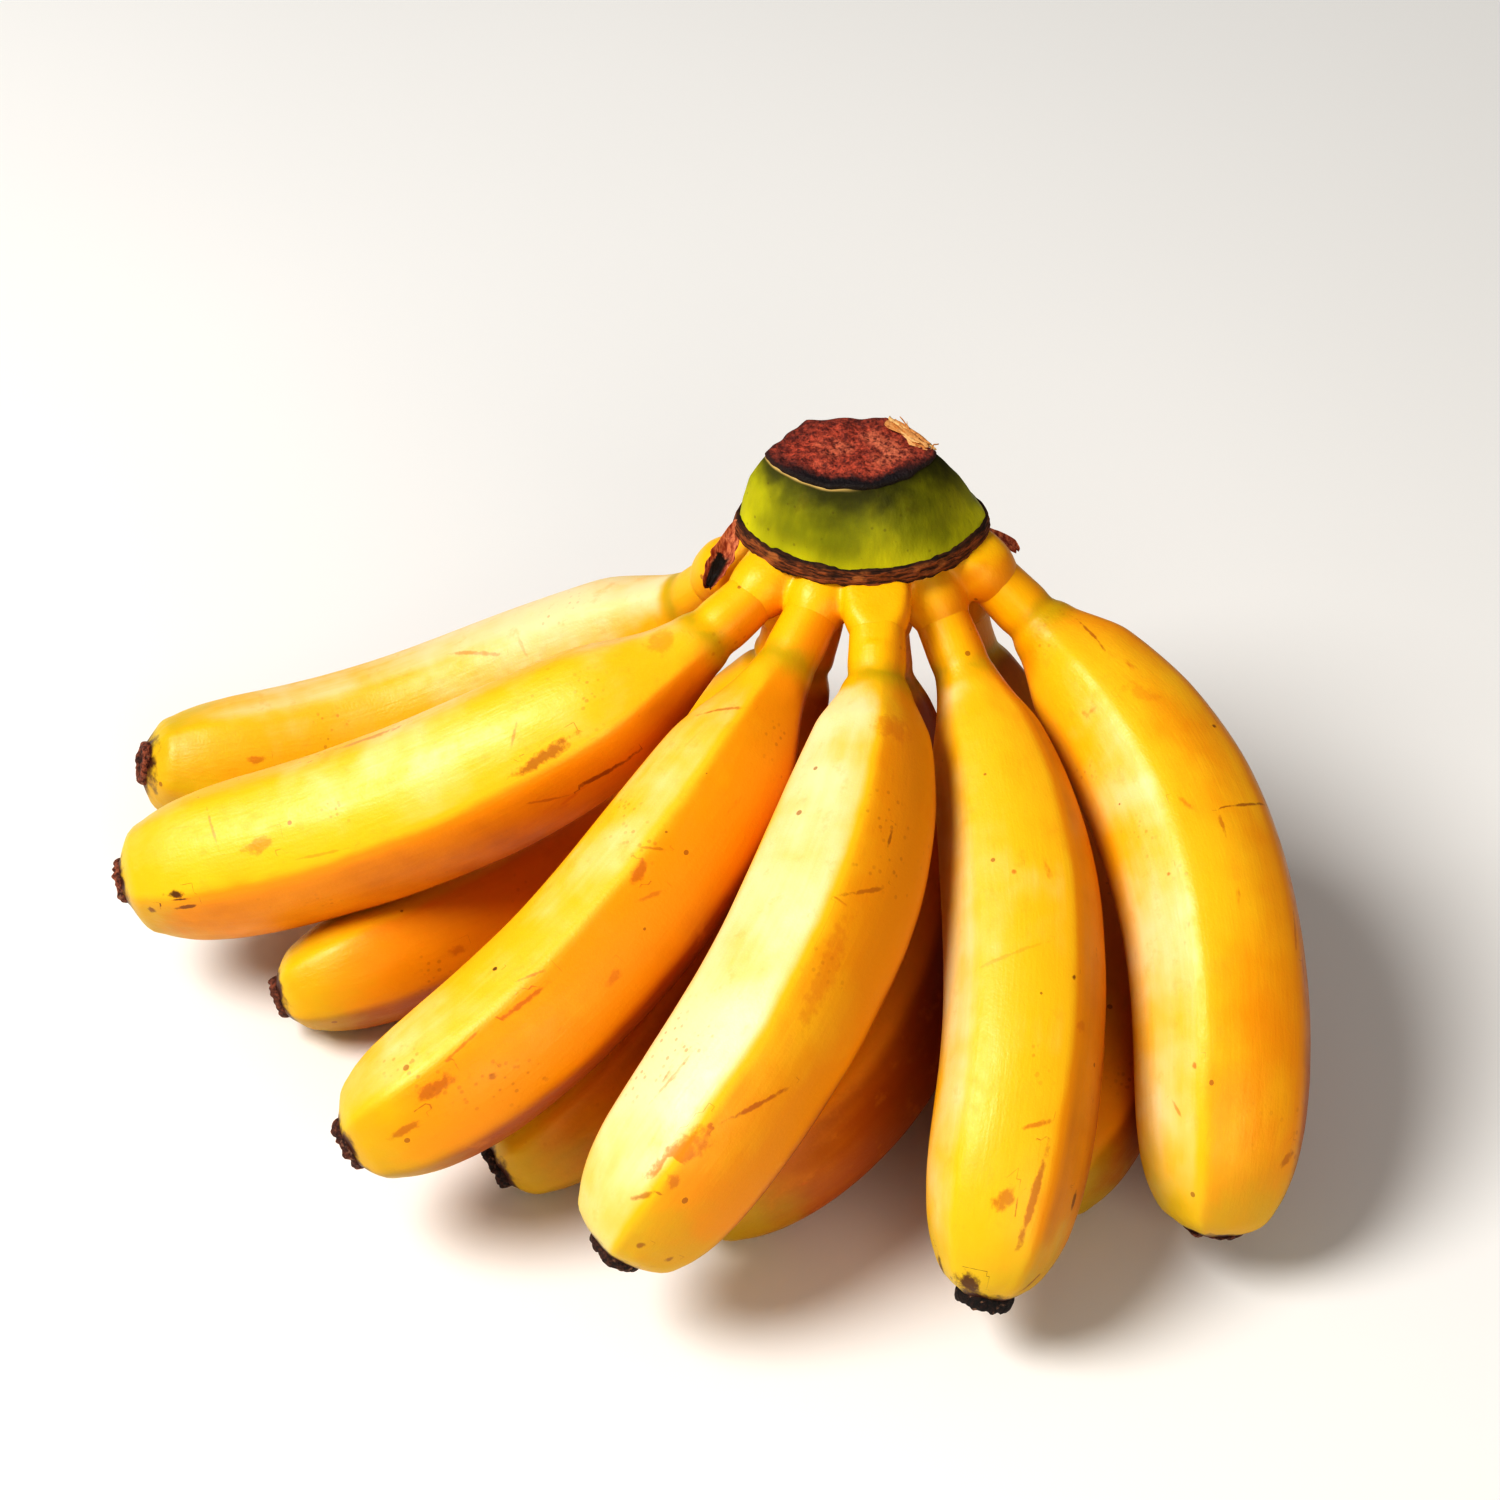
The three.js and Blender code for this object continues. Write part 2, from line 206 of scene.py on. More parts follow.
def face_out(thing):
    """Turns the faces round if the closed mesh is inside out."""
    mesh = thing.data
    mesh.calc_loop_triangles()
    points = np.zeros(len(mesh.vertices) * 3)
    mesh.vertices.foreach_get("co", points)
    points = points.reshape(-1, 3)
    corners = np.zeros(len(mesh.loop_triangles) * 3, int)
    mesh.loop_triangles.foreach_get("vertices", corners)
    a, b, c = (points[corners.reshape(-1, 3)[:, i]] for i in range(3))
    if np.einsum("ij,ij->i", a, np.cross(b, c)).sum() < 0:
        mesh.flip_normals()


def add_piece(thing, material, slot, *nodes):
    face_out(thing)
    thing.data.materials.append(material)
    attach(thing, "root")
    if nodes:
        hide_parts(*nodes)


# ---------------------------------------------------------------- what the CAD fingers say

RIDGES = 5
NECK_RINGS = 5  # how many of a CAD finger's cross-sections lie in its neck
SPINE_OVERRUN = 6  # how far a centreline is followed beyond both ends
SPINE_STEPS = 400


def cad_points(node):
    corners = [np.array(v.co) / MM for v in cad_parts[node].data.vertices]
    return np.unique(np.round(corners, 3), axis=0)


def cad_rings(name):
    """The finger's cross-sections from root to tip, read from its CAD mesh by walking out from the pole at
    its blunt end."""
    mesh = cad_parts["finger_" + name].data
    corners = np.array([v.co for v in mesh.vertices]) / MM
    places, merged = np.unique(np.round(corners, 2), axis=0, return_inverse=True)
    merged = merged.ravel()
    near = [set() for _ in places]
    mesh.calc_loop_triangles()
    for triangle in mesh.loop_triangles:
        a, b, c = (int(merged[i]) for i in triangle.vertices)
        near[a] |= {b, c}
        near[b] |= {a, c}
        near[c] |= {a, b}
    low, high = in_mm(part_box("tip_" + name))
    pole = int(np.argmin(np.linalg.norm(places - (low + high) / 2, axis=1)))
    seen, ring, rings = {pole}, {pole}, []
    while ring:
        ring = set().union(*(near[i] for i in ring)) - seen
        seen |= ring
        if len(ring) > 1:
            rings.append(places[sorted(ring)])
    return rings[::-1]


class Spine:
    """A finger's centreline with a frame that doesn't twist, its radius and the place of its ridges."""

    def __init__(self, name):
        rings = cad_rings(name)
        centres = np.array([ring.mean(0) for ring in rings])
        self.knots = np.concatenate([[0], np.cumsum(np.linalg.norm(np.diff(centres, axis=0), axis=1))])
        self.centres = centres
        self.radii = np.array([self.ridge_radius(ring) for ring in rings])
        self.length = self.knots[-1]
        self.steps = np.linspace(-SPINE_OVERRUN, self.length + SPINE_OVERRUN, SPINE_STEPS)
        self.line = self.centre(self.steps)
        self.forward = unit(np.gradient(self.line, self.steps, axis=0))
        self.across = self.carry_across()
        self.phase = self.ridge_phase(rings)

    @staticmethod
    def ridge_radius(ring):
        return np.sort(np.linalg.norm(ring - ring.mean(0), axis=1))[-RIDGES:].mean()

    def centre(self, s):
        inside = np.clip(s, 0, self.length)
        found = curve_through(self.knots, self.centres, inside)
        first = unit(self.centres[1] - self.centres[0])
        last = unit(self.centres[-1] - self.centres[-2])
        over = np.maximum(s - self.length, 0)[:, None] * last
        return found + np.minimum(s, 0)[:, None] * first + over

    def carry_across(self):
        across = np.zeros_like(self.line)
        middle = int(np.argmin(abs(self.steps - self.length / 2)))
        across[middle] = unit(np.cross(self.forward[middle], [0, 0, 1]))
        for i in range(middle + 1, len(across)):
            across[i] = self.level(across[i - 1], self.forward[i])
        for i in range(middle - 1, -1, -1):
            across[i] = self.level(across[i + 1], self.forward[i])
        return across

    @staticmethod
    def level(across, forward):
        return unit(across - forward * (across @ forward))

    def frame_at(self, s):
        forward = unit(np.stack([np.interp(s, self.steps, self.forward[:, i]) for i in range(3)], -1))
        across = unit(np.stack([np.interp(s, self.steps, self.across[:, i]) for i in range(3)], -1))
        above = unit(np.cross(across, forward))
        return self.centre(s), forward, across, above

    def ridge_phase(self, rings):
        """The angle of a ridge from straight up, taken over the body's rings."""
        total = 0
        for ring, s in zip(rings[NECK_RINGS:-1], self.knots[NECK_RINGS:-1]):
            centre, _, across, above = self.frame_at(np.array([s]))
            out = ring - ring.mean(0)
            angle = np.arctan2(out @ across[0], out @ above[0])
            reach = np.linalg.norm(out, axis=1)
            total += np.sum((reach - reach.mean()) * np.exp(1j * RIDGES * angle))
        return np.angle(total) / RIDGES

    def radius(self, s):
        return curve_through(self.knots, self.radii, np.clip(s, 0, self.length))


# ---------------------------------------------------------------- fingers

NECK = 19.0  # where the neck ends and the body starts, from the root
ROOT_OVERRUN = 3.0  # how far the peel runs on into the crown
ROW_STEP = 0.8
END_GAP = 1.2  # where the even rows stop, from the end
LAST_ROWS = (0.8, 0.45, 0.2, 0.05)  # the closer rows after them, from the end
# Rows that turn in over the blunt end: share of its radius, and how far they lie beyond it.
DISH = ((0.93, 0.25), (0.85, 0.2), (0.72, -0.4), (0.5, -1.0))
COLUMNS = 112
HALF_DEGREES = 720
KNUCKLE_FLARE = 0.03  # how much wider the neck grows at the crown, as a share
KNUCKLE_LENGTH = 4.5
# How five-sided a finger is at its neck, at the body's middle and at the body's ends.
NECK_EDGE, MIDDLE_EDGE, END_EDGE = 0.08, 0.34, 0.55
NECK_END_LENGTH, TIP_END_LENGTH = 30, 26  # how far the body's two ends reach towards its middle
RIDGE_BLUR, RIDGE_REACH = 9.0, 40  # how a ridge is rounded, in half degrees
LUMP = 0.28  # height of the body's unevenness
NECK_LUMPS = 0.25  # the neck's share of it
WRINKLE_LENGTH, WRINKLE_HEIGHT = 9, 0.18  # the puckered end of the peel
NOISE_GAP = 300.0  # how far apart the fingers lie in the noise, so that no two are alike
PAINTED_LIGHT_SIDE = (-0.72, 0.0, 0.7)  # the direction of the painted light: faces that look this way get painted highlight, those that look away painted shade
PAINTED_LIGHT_BLUR = 22  # how softly the painted light changes at a ridge, in half degrees
FACE_SHARE = 0.75
FACE_START = 16  # the painted light follows the five faces from this far down the body
# How far down the body the shoulder goes on swelling, where it starts, and how much of it comes at once.
SHOULDER_LENGTH = {"upper_1": 26, "upper_2": 26, "upper_3": 24, "upper_4": 12, "upper_5": 16, "upper_6": 14}
SHOULDER_START = NECK - 5
SHOULDER_FIRST = 0.25
# How much more painted light or painted shade a finger gets than its place would give it; the lower row gets
# painted shade.
PAINTED_LIGHT_MORE = {
    "upper_1": 0.15, "upper_2": -0.1, "upper_3": -0.25, "upper_4": 0.1, "upper_5": -0.1, "upper_6": -0.1,
    "lower_1": -0.35, "lower_2": -0.5, "lower_3": -0.8, "lower_4": -0.5,
}
# The roof that keeps a neck under the scar: its gap, its fall along the neck, its reach and its softness.
ROOF_GAP, ROOF_FALL, ROOF_REACH, ROOF_SOFT = 0.6, 0.25, 12, 0.5


def pentagon(angle):
    """Radius of a rounded five-sided section, less its ridge radius, as a share of that radius."""
    turn = full_turn(HALF_DEGREES)
    to_ridge = np.abs((turn + np.pi / RIDGES) % (2 * np.pi / RIDGES) - np.pi / RIDGES)
    sharp = np.cos(np.pi / RIDGES) / np.cos(np.pi / RIDGES - to_ridge)
    window = np.exp(-0.5 * (np.arange(-RIDGE_REACH, RIDGE_REACH + 1) / RIDGE_BLUR) ** 2)
    window /= window.sum()
    wrapped = np.concatenate([sharp[-RIDGE_REACH:], sharp, sharp[:RIDGE_REACH]])
    soft = np.convolve(wrapped, window, "valid")
    soft /= soft.max()
    return np.interp(angle % (2 * np.pi), np.append(turn, 2 * np.pi), np.append(soft, soft[0])) - 1


def soft_shoulder(spine, name, s):
    """The finger's radius. In the upper row it swells from the neck more slowly than the CAD's."""
    radius = spine.radius(s)
    if name in LOWER:
        return radius
    neck = spine.radius(np.array([SHOULDER_START]))[0]
    swell = smooth(SHOULDER_START, NECK + SHOULDER_LENGTH[name], s)
    kept = SHOULDER_FIRST + (1 - SHOULDER_FIRST) * swell
    return neck + (radius - neck) * np.where(s > SHOULDER_START, kept, 1)


def around_line(reach, angle, across, above):
    """Points at a reach and an angle from straight up, in the plane of across and above."""
    return above * (reach * np.cos(angle))[..., None] + across * (reach * np.sin(angle))[..., None]


# Marks on the peel: how far from the root, angle round the finger from straight up, half-length, half-width,
# turn (90 runs along the finger), how strong and how dark. Millimetres and degrees.
MARKS = {
    "upper_1": (
        (73, -16, 8, 0.5, 70, 0.5, 0.2),
        (132, -50, 2.5, 0.8, 80, 0.6, 0.1),
        (60, -25, 3, 0.5, 10, 0.25, 0.2),
    ),
    "upper_2": (
        (137, -64, 2.6, 0.9, 90, 0.95, 0.9),
        (136, -76, 2.6, 0.5, 95, 0.8, 0.8),
        (144, -80, 1.0, 0.9, 90, 0.8, 0.75),
        (56, -59, 7, 1.4, 95, 0.75, 0.5),
        (50, -98, 8, 0.7, 80, 0.9, 0.55),
        (60, -90, 4, 0.4, 60, 0.7, 0.3),
        (90, 19, 9, 1.1, 85, 0.5, 0.2),
        (116, -42, 4, 1.9, 90, 0.5, 0.25),
        (27, -14, 3, 3.0, 20, 0.35, 0.1),
        (59, -35, 3, 0.35, 145, 0.5, 0.3),
        (126, -21, 5, 0.35, 10, 0.45, 0.3),
        (104, -60, 7, 0.35, 85, 0.35, 0.2),
    ),
    "upper_3": (
        (74, -16, 3.2, 1.1, 100, 0.75, 0.25),
        (76, -33, 3, 0.5, 60, 0.55, 0.2),
        (69, -12, 3, 0.35, 30, 0.5, 0.5),
        (36, 14, 5.5, 0.5, 25, 0.65, 0.25),
        (107, -19, 9, 0.6, 85, 0.85, 0.2),
        (119, -15, 6.5, 0.35, 95, 0.6, 0.3),
        (101, -10, 3, 0.4, 65, 0.6, 0.3),
        (127, -27, 4, 1.7, 85, 0.75, 0.35),
        (135, -43, 3.5, 1.0, 85, 0.65, 0.4),
        (91, -51, 2, 1.1, 90, 0.5, 0.15),
        (98, -106, 1.6, 0.6, 70, 0.7, 0.7),
        (118, -45, 1, 0.8, 90, 0.6, 0.5),
        (105, 18, 0.5, 0.5, 0, 0.9, 0.9),
    ),
    "upper_4": (
        (121, -16, 7, 2.4, 70, 0.7, 0.15),
        (108, -39, 7, 0.5, 55, 0.85, 0.3),
        (130, -11, 3, 0.6, 45, 0.65, 0.5),
        (125, -22, 1.4, 1.2, 90, 0.6, 0.3),
        (68, -34, 5, 0.5, 35, 0.6, 0.45),
        (56, -40, 2.2, 0.4, 90, 0.65, 0.6),
        (33, -29, 4, 3.2, 0, 0.4, 0.1),
        (66, -93, 0.8, 0.7, 0, 0.9, 0.9),
        (84, -33, 11, 2.4, 95, 0.35, 0.05),
        (137, -34, 0.8, 0.8, 0, 0.7, 0.6),
        (137, -66, 0.9, 0.8, 0, 0.7, 0.6),
        (112, 20, 6, 0.35, 80, 0.3, 0.2),
    ),
    "upper_5": (
        (129, 0, 2.5, 1.7, 30, 0.65, 0.35),
        (128, -22, 10, 0.8, 85, 0.7, 0.4),
        (127, -66, 1.6, 0.8, 105, 0.85, 0.75),
        (117, -13, 3, 0.5, 20, 0.65, 0.2),
        (142, -53, 2.5, 0.5, 45, 0.8, 0.6),
        (143, 75, 2.5, 1.2, 60, 0.9, 0.9),
        (144, 25, 3.2, 2.0, 0, 0.95, 0.9),
        (71, 10, 0.6, 0.6, 0, 0.7, 0.2),
        (91, -31, 0.5, 0.5, 0, 0.9, 0.7),
        (99, -40, 1.6, 1.2, 60, 0.45, 0.15),
        (104, -63, 0.5, 0.5, 0, 0.9, 0.6),
        (88, 15, 8, 0.4, 20, 0.25, 0.1),
    ),
    "upper_6": (
        (76, -31, 5.5, 0.35, 5, 0.75, 0.6),
        (29, -11, 5, 0.4, 70, 0.75, 0.4),
        (106, -52, 5, 0.6, 95, 0.7, 0.35),
        (98, -46, 4, 0.4, 80, 0.5, 0.3),
        (74, 13, 2.2, 0.8, 120, 0.55, 0.1),
        (80, -6, 2, 0.5, 90, 0.6, 0.3),
        (59, -37, 0.6, 0.5, 0, 0.9, 0.7),
        (87, 37, 0.5, 0.5, 0, 0.7, 0.2),
        (122, 32, 0.5, 0.5, 0, 0.7, 0.2),
        (129, 45, 1.8, 0.35, 130, 0.5, 0.3),
        (136, -39, 2, 0.8, 50, 0.6, 0.4),
        (47, 0, 4, 2.0, 120, 0.3, 0.05),
    ),
    "lower_1": ((120, -60, 2, 1.2, 90, 0.5, 0.3),),
}
MARK_MARGIN = 1.6  # how far around a mark its own coordinates reach
FAR = 9.0  # the place given to points outside every mark


def place_marks(name, s, angle, radius):
    """For each point: where it lies in its mark, as shares of the mark's half-length and half-width, and
    how strong and how dark that mark is."""
    shape = (len(s), len(angle))
    place = np.full((*shape, 3), FAR)
    place[..., 2] = 0
    strong, dark = np.zeros(shape), np.zeros(shape)
    for at, degrees, half_length, half_width, turn, strength, darkness in MARKS.get(name, ()):
        around = (angle[None] - math.radians(degrees) + np.pi) % (2 * np.pi) - np.pi
        x = around * radius[:, None]
        y = (s - at)[:, None]
        cos, sin = math.cos(math.radians(turn)), math.sin(math.radians(turn))
        u, v = x * cos + y * sin, y * cos - x * sin
        near = (abs(u) < half_length + MARK_MARGIN) & (abs(v) < half_width + MARK_MARGIN)
        place[near, 0] = (u / half_length)[near]
        place[near, 1] = (v / half_width)[near]
        strong[near] = strength
        dark[near] = darkness
    return place, strong, dark


def close_rows(rows, centre, forward):
    """Turns the last rows in over the blunt end, to a shallow dish behind the dried tip."""
    dish = [centre[-1] + (rows[-1] - centre[-1]) * share + forward[-1] * beyond for share, beyond in DISH]
    return np.concatenate([rows, np.array(dish)])


def painted_face_light(spine, s, angle, across, above):
    """Painted light for each of the five faces, from -1 (painted shade) to 1 (painted highlight): the most
    highlight on those that look up and to the left. It changes quickly at a ridge, and smoothly on the round
    neck."""
    turn = full_turn(HALF_DEGREES)
    face = np.round((turn - spine.phase) / (2 * np.pi / RIDGES) - 0.5) + 0.5
    middle = spine.phase + face * 2 * np.pi / RIDGES
    mixed = FACE_SHARE * middle + (1 - FACE_SHARE) * turn
    side = unit(np.array(PAINTED_LIGHT_SIDE))
    faces = (above @ side)[:, None] * np.cos(mixed) + (across @ side)[:, None] * np.sin(mixed)
    whole = (above @ side)[:, None] * np.cos(turn) + (across @ side)[:, None] * np.sin(turn)
    kept = whole + (faces - whole) * smooth(NECK, NECK + FACE_START, s)[:, None]
    window = np.hanning(2 * PAINTED_LIGHT_BLUR + 1)
    wrapped = np.concatenate([kept[:, -PAINTED_LIGHT_BLUR:], kept, kept[:, :PAINTED_LIGHT_BLUR]], 1)
    soft = np.apply_along_axis(np.convolve, 1, wrapped, window / window.sum(), "valid")
    return np.array([np.interp(angle, turn, row, period=2 * np.pi) for row in soft])


def make_finger(name, number, material, band_bottom):
    spine = Spine(name)
    end = spine.length
    s = np.concatenate([np.arange(-ROOT_OVERRUN, end - END_GAP, ROW_STEP), end - np.array(LAST_ROWS)])
    angle = full_turn(COLUMNS)
    centre, forward, across, above = spine.frame_at(s)
    radius = soft_shoulder(spine, name, s)
    flare = 1 + KNUCKLE_FLARE * np.exp(-np.maximum(s, 0) / KNUCKLE_LENGTH) * (s < NECK)
    body = smooth(NECK - 1, NECK + 10, s)
    near_end = 1 - smooth(0, TIP_END_LENGTH, end - s) * smooth(0, NECK_END_LENGTH, s - NECK)
    edge = NECK_EDGE + body * (MIDDLE_EDGE + (END_EDGE - MIDDLE_EDGE) * near_end - NECK_EDGE)
    section = 1 + edge[:, None] * pentagon(angle[None] - spine.phase)

    # The noise is read from the finger laid straight, as the materials read theirs.
    spread = columns(s, COLUMNS)
    level = [radius[:, None] * np.cos(angle)[None], radius[:, None] * np.sin(angle)[None]]
    straight = np.stack([*level, spread], -1) + np.array([0, 0, NOISE_GAP * number])
    uneven = LUMP * lumps(straight, 26, 3) + 0.3 * LUMP * lumps(straight, 9, 4)
    pucker = smooth(WRINKLE_LENGTH, 0, end - s)[:, None] * lumps(straight * np.array([1, 1, 0.25]), 1.8, 5)
    reach = radius[:, None] * flare[:, None] * section
    reach = reach + uneven * (NECK_LUMPS + (1 - NECK_LUMPS) * body[:, None]) + WRINKLE_HEIGHT * pucker
    rows = centre[:, None] + around_line(reach, angle, across[:, None], above[:, None])

    # The necks leave the crown below its scar, so their upper ends stay inside its fused base.
    roof = (band_bottom - ROOF_GAP - ROOF_FALL * np.maximum(s, 0))[:, None]
    height = rows[..., 2]
    lowered = roof - np.logaddexp(0, (roof - height) / ROOF_SOFT) * ROOF_SOFT
    rows[..., 2] = np.where((s < ROOF_REACH)[:, None], lowered, height)
    rows = close_rows(rows, centre, forward)

    mark, strong, dark = place_marks(name, s, angle, radius)
    attributes = {
        "mark": mark,
        "mark_strength": strong,
        "mark_dark": dark,
        "straight": straight * MM,
        "from_root": spread * MM,
        "to_tip": (end - spread) * MM,
        # painted light: painted highlight and painted shade for each point, by the way its face looks
        "painted_light": painted_face_light(spine, s, angle, across, above) + PAINTED_LIGHT_MORE[name],
    }
    for key, values in attributes.items():
        attributes[key] = np.concatenate([values, np.repeat(values[-1:], len(DISH), 0)])
    thing = loft("banana_" + name, rows, attributes)
    add_piece(thing, material, "peel", "finger_" + name)
    return spine


# ---------------------------------------------------------------- crown

BAND_LOW, BAND_HIGH = in_mm(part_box("bract_scar"))
CROWN_AXIS = (BAND_LOW + BAND_HIGH) / 2
BAND_PROUD = 0.8  # how far the CAD scar stands out from the crown
BAND_COLUMNS, BAND_AROUND = 420, 20
BAND_RAGGED = 0.45  # how far the visual scar reaches beyond half the CAD scar's height
CROWN_COLUMNS = 240
LEVEL_GAP, LEVEL_POINTS = 0.06, 20  # points this close in height, and this many of them, make a cross-section
CUT_CORNERS = ((-1, 0), (-0.53, 0.93), (0.44, 1), (1, 0))  # back of the cut, as shares of its half-widths
CUT_SHARE = 0.8  # how far the crown's back takes that outline at its top
RIB_WIDTH, RIB_HEIGHT = 6.5, 0.35
FLANK_START, FLANK_STEP = 0.9, 0.55
# The cut's edge from under the flank's lip to its top, as shares of the rim's radius and heights over it.
CUT_EDGE = ((0.965, -0.9), (1.012, -0.25), (1.016, 0.25), (1.005, 0.55), (0.985, 0.75))
CUT_ROWS, CUT_HEIGHT = 44, 0.8
CUT_ROOF = 0.6  # how far the cut's grain may rise above the CAD's
# The fused necks under the scar: grid step, how sharply they meet in 1/mm, and their roof over its foot.
BASE_STEP, BASE_BLEND, BASE_ROOF = 0.8, 2.0, 0.9
NECK_PLACES = (0.0, 4.0, 9.5)  # the places along a neck that the base follows, from its root
NECK_RADII = (7.0, 6.4, 6.3, 4.8)  # the radius there, after the one at its inner end
NECK_INNER, NECK_DEPTH = 0.4, 4.5  # where that inner end lies: share of the way out, and depth under the scar
STUB_HALF, STUB_TAPER, STUB_DEPTH = (22.4, 14.4), (0.06, 0.045), 14  # the stalk's stub between the necks


class Outline:
    """The crown's lens-shaped outline at any height, read from the CAD crown and its scar."""

    def __init__(self):
        crown = cad_points("crown")
        above = crown[crown[:, 2] > BAND_HIGH[2] + 1]
        rows = []
        for z in np.unique(np.round(above[:, 2], 1)):
            ring = above[abs(above[:, 2] - z) < LEVEL_GAP]
            if len(ring) > LEVEL_POINTS:
                rows.append(self.measure(ring, z))
        scar = cad_points("bract_scar")
        for z in (BAND_HIGH[2], BAND_LOW[2]):
            ring = scar[abs(scar[:, 2] - z) < LEVEL_GAP]
            middle, half = self.extent(ring)
            lift = (rows[0][0] - z) / (rows[1][0] - rows[0][0])
            corner = rows[0][5] - lift * (rows[1][5] - rows[0][5])
            rows.insert(0, [z, *middle[:2], *(half - BAND_PROUD)[:2], corner])
        self.rows = np.array(rows)
        self.low, self.high = self.rows[0, 0], self.rows[-1, 0]

    @staticmethod
    def extent(ring):
        return (ring.max(0) + ring.min(0)) / 2, (ring.max(0) - ring.min(0)) / 2

    def measure(self, ring, z):
        """Height, centre, half-widths and how sharp the two corners are."""
        middle, half = self.extent(ring)
        across = (ring[:, 0] - middle[0]) / half[0]
        pick = np.argmin(abs(across - 0.65) + (ring[:, 1] > middle[1]))
        rise = abs(ring[pick, 1] - middle[1]) / half[1]
        return [z, *middle[:2], *half[:2], np.log(rise) / np.log(np.sqrt(1 - across[pick] ** 2))]

    def point(self, z, angle, outwards=0.0):
        """Points at heights z and angles (arrays of one shape), moved out from the crown's side."""
        flat = np.clip(np.ravel(z), self.low - 6, self.high)
        x, y, half_x, half_y, corner = (
            np.interp(flat, self.rows[:, 0], self.rows[:, i]).reshape(np.shape(z)) for i in range(1, 6)
        )
        u, rise = np.cos(angle), np.abs(np.sin(angle)) ** corner
        back = np.interp(u, *np.transpose(CUT_CORNERS))
        high = smooth(self.low + 3, self.high, z) * (np.sin(angle) > 0)
        rise = (rise + (back - rise) * high * CUT_SHARE) * np.sign(np.sin(angle))
        return np.stack([x + (half_x + outwards) * u, y + (half_y + outwards) * rise, z], -1)


def make_flank(outline, material):
    z = np.append(np.arange(outline.low + FLANK_START, outline.high, FLANK_STEP), outline.high)
    z = columns(z, CROWN_COLUMNS)
    angle = np.repeat(full_turn(CROWN_COLUMNS)[None], len(z), 0)
    points = outline.point(z, angle)
    up = (z - outline.low) / (outline.high - outline.low)
    along = points * np.array([1, 1, 0.3])
    ribs = lumps(along, RIB_WIDTH, 21) * RIB_HEIGHT * (1 - 0.75 * up)
    bulge = (0.7 + 0.5 * lumps(points, 14, 22)) * np.sin(np.pi * up)
    lip = 0.35 * smooth(0.93, 1.0, up) * lumps(points, 2.2, 23)
    points = outline.point(z, angle, ribs + bulge + lip)
    uneven = 0.35 * lumps(points[-1], 3.5, 24)
    points[..., 2] += uneven * smooth(0.8, 1, up)
    thing = loft("crown_flank", points, {"place": points * MM, "up": up})
    add_piece(thing, material, "crown_skin", "crown")
    return points[-1]


def make_cut(outline, rim, material):
    """The dried cut: a grainy plate that curls a little over the flank's ragged edge."""
    _, high = in_mm(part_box("crown_callus"))
    middle = rim.mean(0)
    inwards = [(share, CUT_HEIGHT) for share in np.linspace(0.96, 0.02, CUT_ROWS)]
    shares, heights = np.transpose([*CUT_EDGE, *inwards])
    rows = middle + (rim - middle)[None] * shares[:, None, None]
    rows[..., 2] += heights[:, None]
    inner = smooth(1.0, 0.9, shares)[:, None]
    grain = 0.22 * lumps(rows, 1.1, 31) + 0.16 * lumps(rows, 0.6, 32) + 0.3 * lumps(rows, 4.5, 33)
    rows[..., 2] += inner * grain + 0.3 * smooth(0.95, 0.2, shares)[:, None]
    rows[..., :2] += (rows[..., :2] - middle[:2]) * (0.012 * lumps(rows, 1.6, 34) * (1 - inner))[..., None]
    rows[..., 2] = np.minimum(rows[..., 2], high[2] + CUT_ROOF)
    reach = np.linalg.norm(rim - middle, axis=1)
    edge = (1 - np.minimum(shares, 1))[:, None] * reach[None]
    front = np.repeat(smooth(3, -9, rim[:, 1] - middle[1])[None], len(shares), 0)
    thing = loft("crown_cut", rows, {"place": rows * MM, "edge": edge * MM, "front": front})
    add_piece(thing, material, "cut_face", "crown_callus")


def make_scar(outline, material):
    """The corky band: a rope-like section with ragged upper and lower edges."""
    around = full_turn(BAND_AROUND)
    angle = full_turn(BAND_COLUMNS)
    middle = CROWN_AXIS[2]
    half = (BAND_HIGH[2] - BAND_LOW[2]) / 2 + BAND_RAGGED
    line = outline.point(np.full(len(angle), middle), angle)
    sag = 0.45 * lumps(line, 9, 41)
    upper = 0.35 * lumps(line, 2.4, 42) + 0.2 * lumps(line, 0.9, 43)
    lower = 0.35 * lumps(line, 2.1, 44) + 0.25 * lumps(line, 0.8, 45)
    rise = np.sin(around)[None] * half
    rise = rise + np.where(rise > 0, upper[:, None], lower[:, None]) * np.abs(np.sin(around))[None]
    z = middle + sag[:, None] + rise
    out = 0.15 + 0.85 * np.sign(np.cos(around)) * np.abs(np.cos(around)) ** 0.6
    out = np.repeat(out[None], len(angle), 0)
    spread = columns(angle, BAND_AROUND)
    rough = outline.point(z, spread, out)
    length = np.append(0, np.cumsum(np.linalg.norm(np.diff(line, axis=0), axis=1)))
    stretched = np.stack([columns(length * 0.12, BAND_AROUND), rise, out], -1)
    fibres = 0.28 * lumps(stretched, 0.42, 46) + 0.2 * lumps(rough, 1.3, 47)
    out = out + fibres * (np.cos(around) > 0)
    rows = outline.point(z, spread, out)
    across = np.clip(rise / (2 * half) + 0.5, 0, 1)
    along = np.stack([columns(length, BAND_AROUND), rise, out], -1)
    thing = ring_loft("scar_band", rows, {"along": along * MM, "across": across})
    add_piece(thing, material, "bract", "bract_scar")


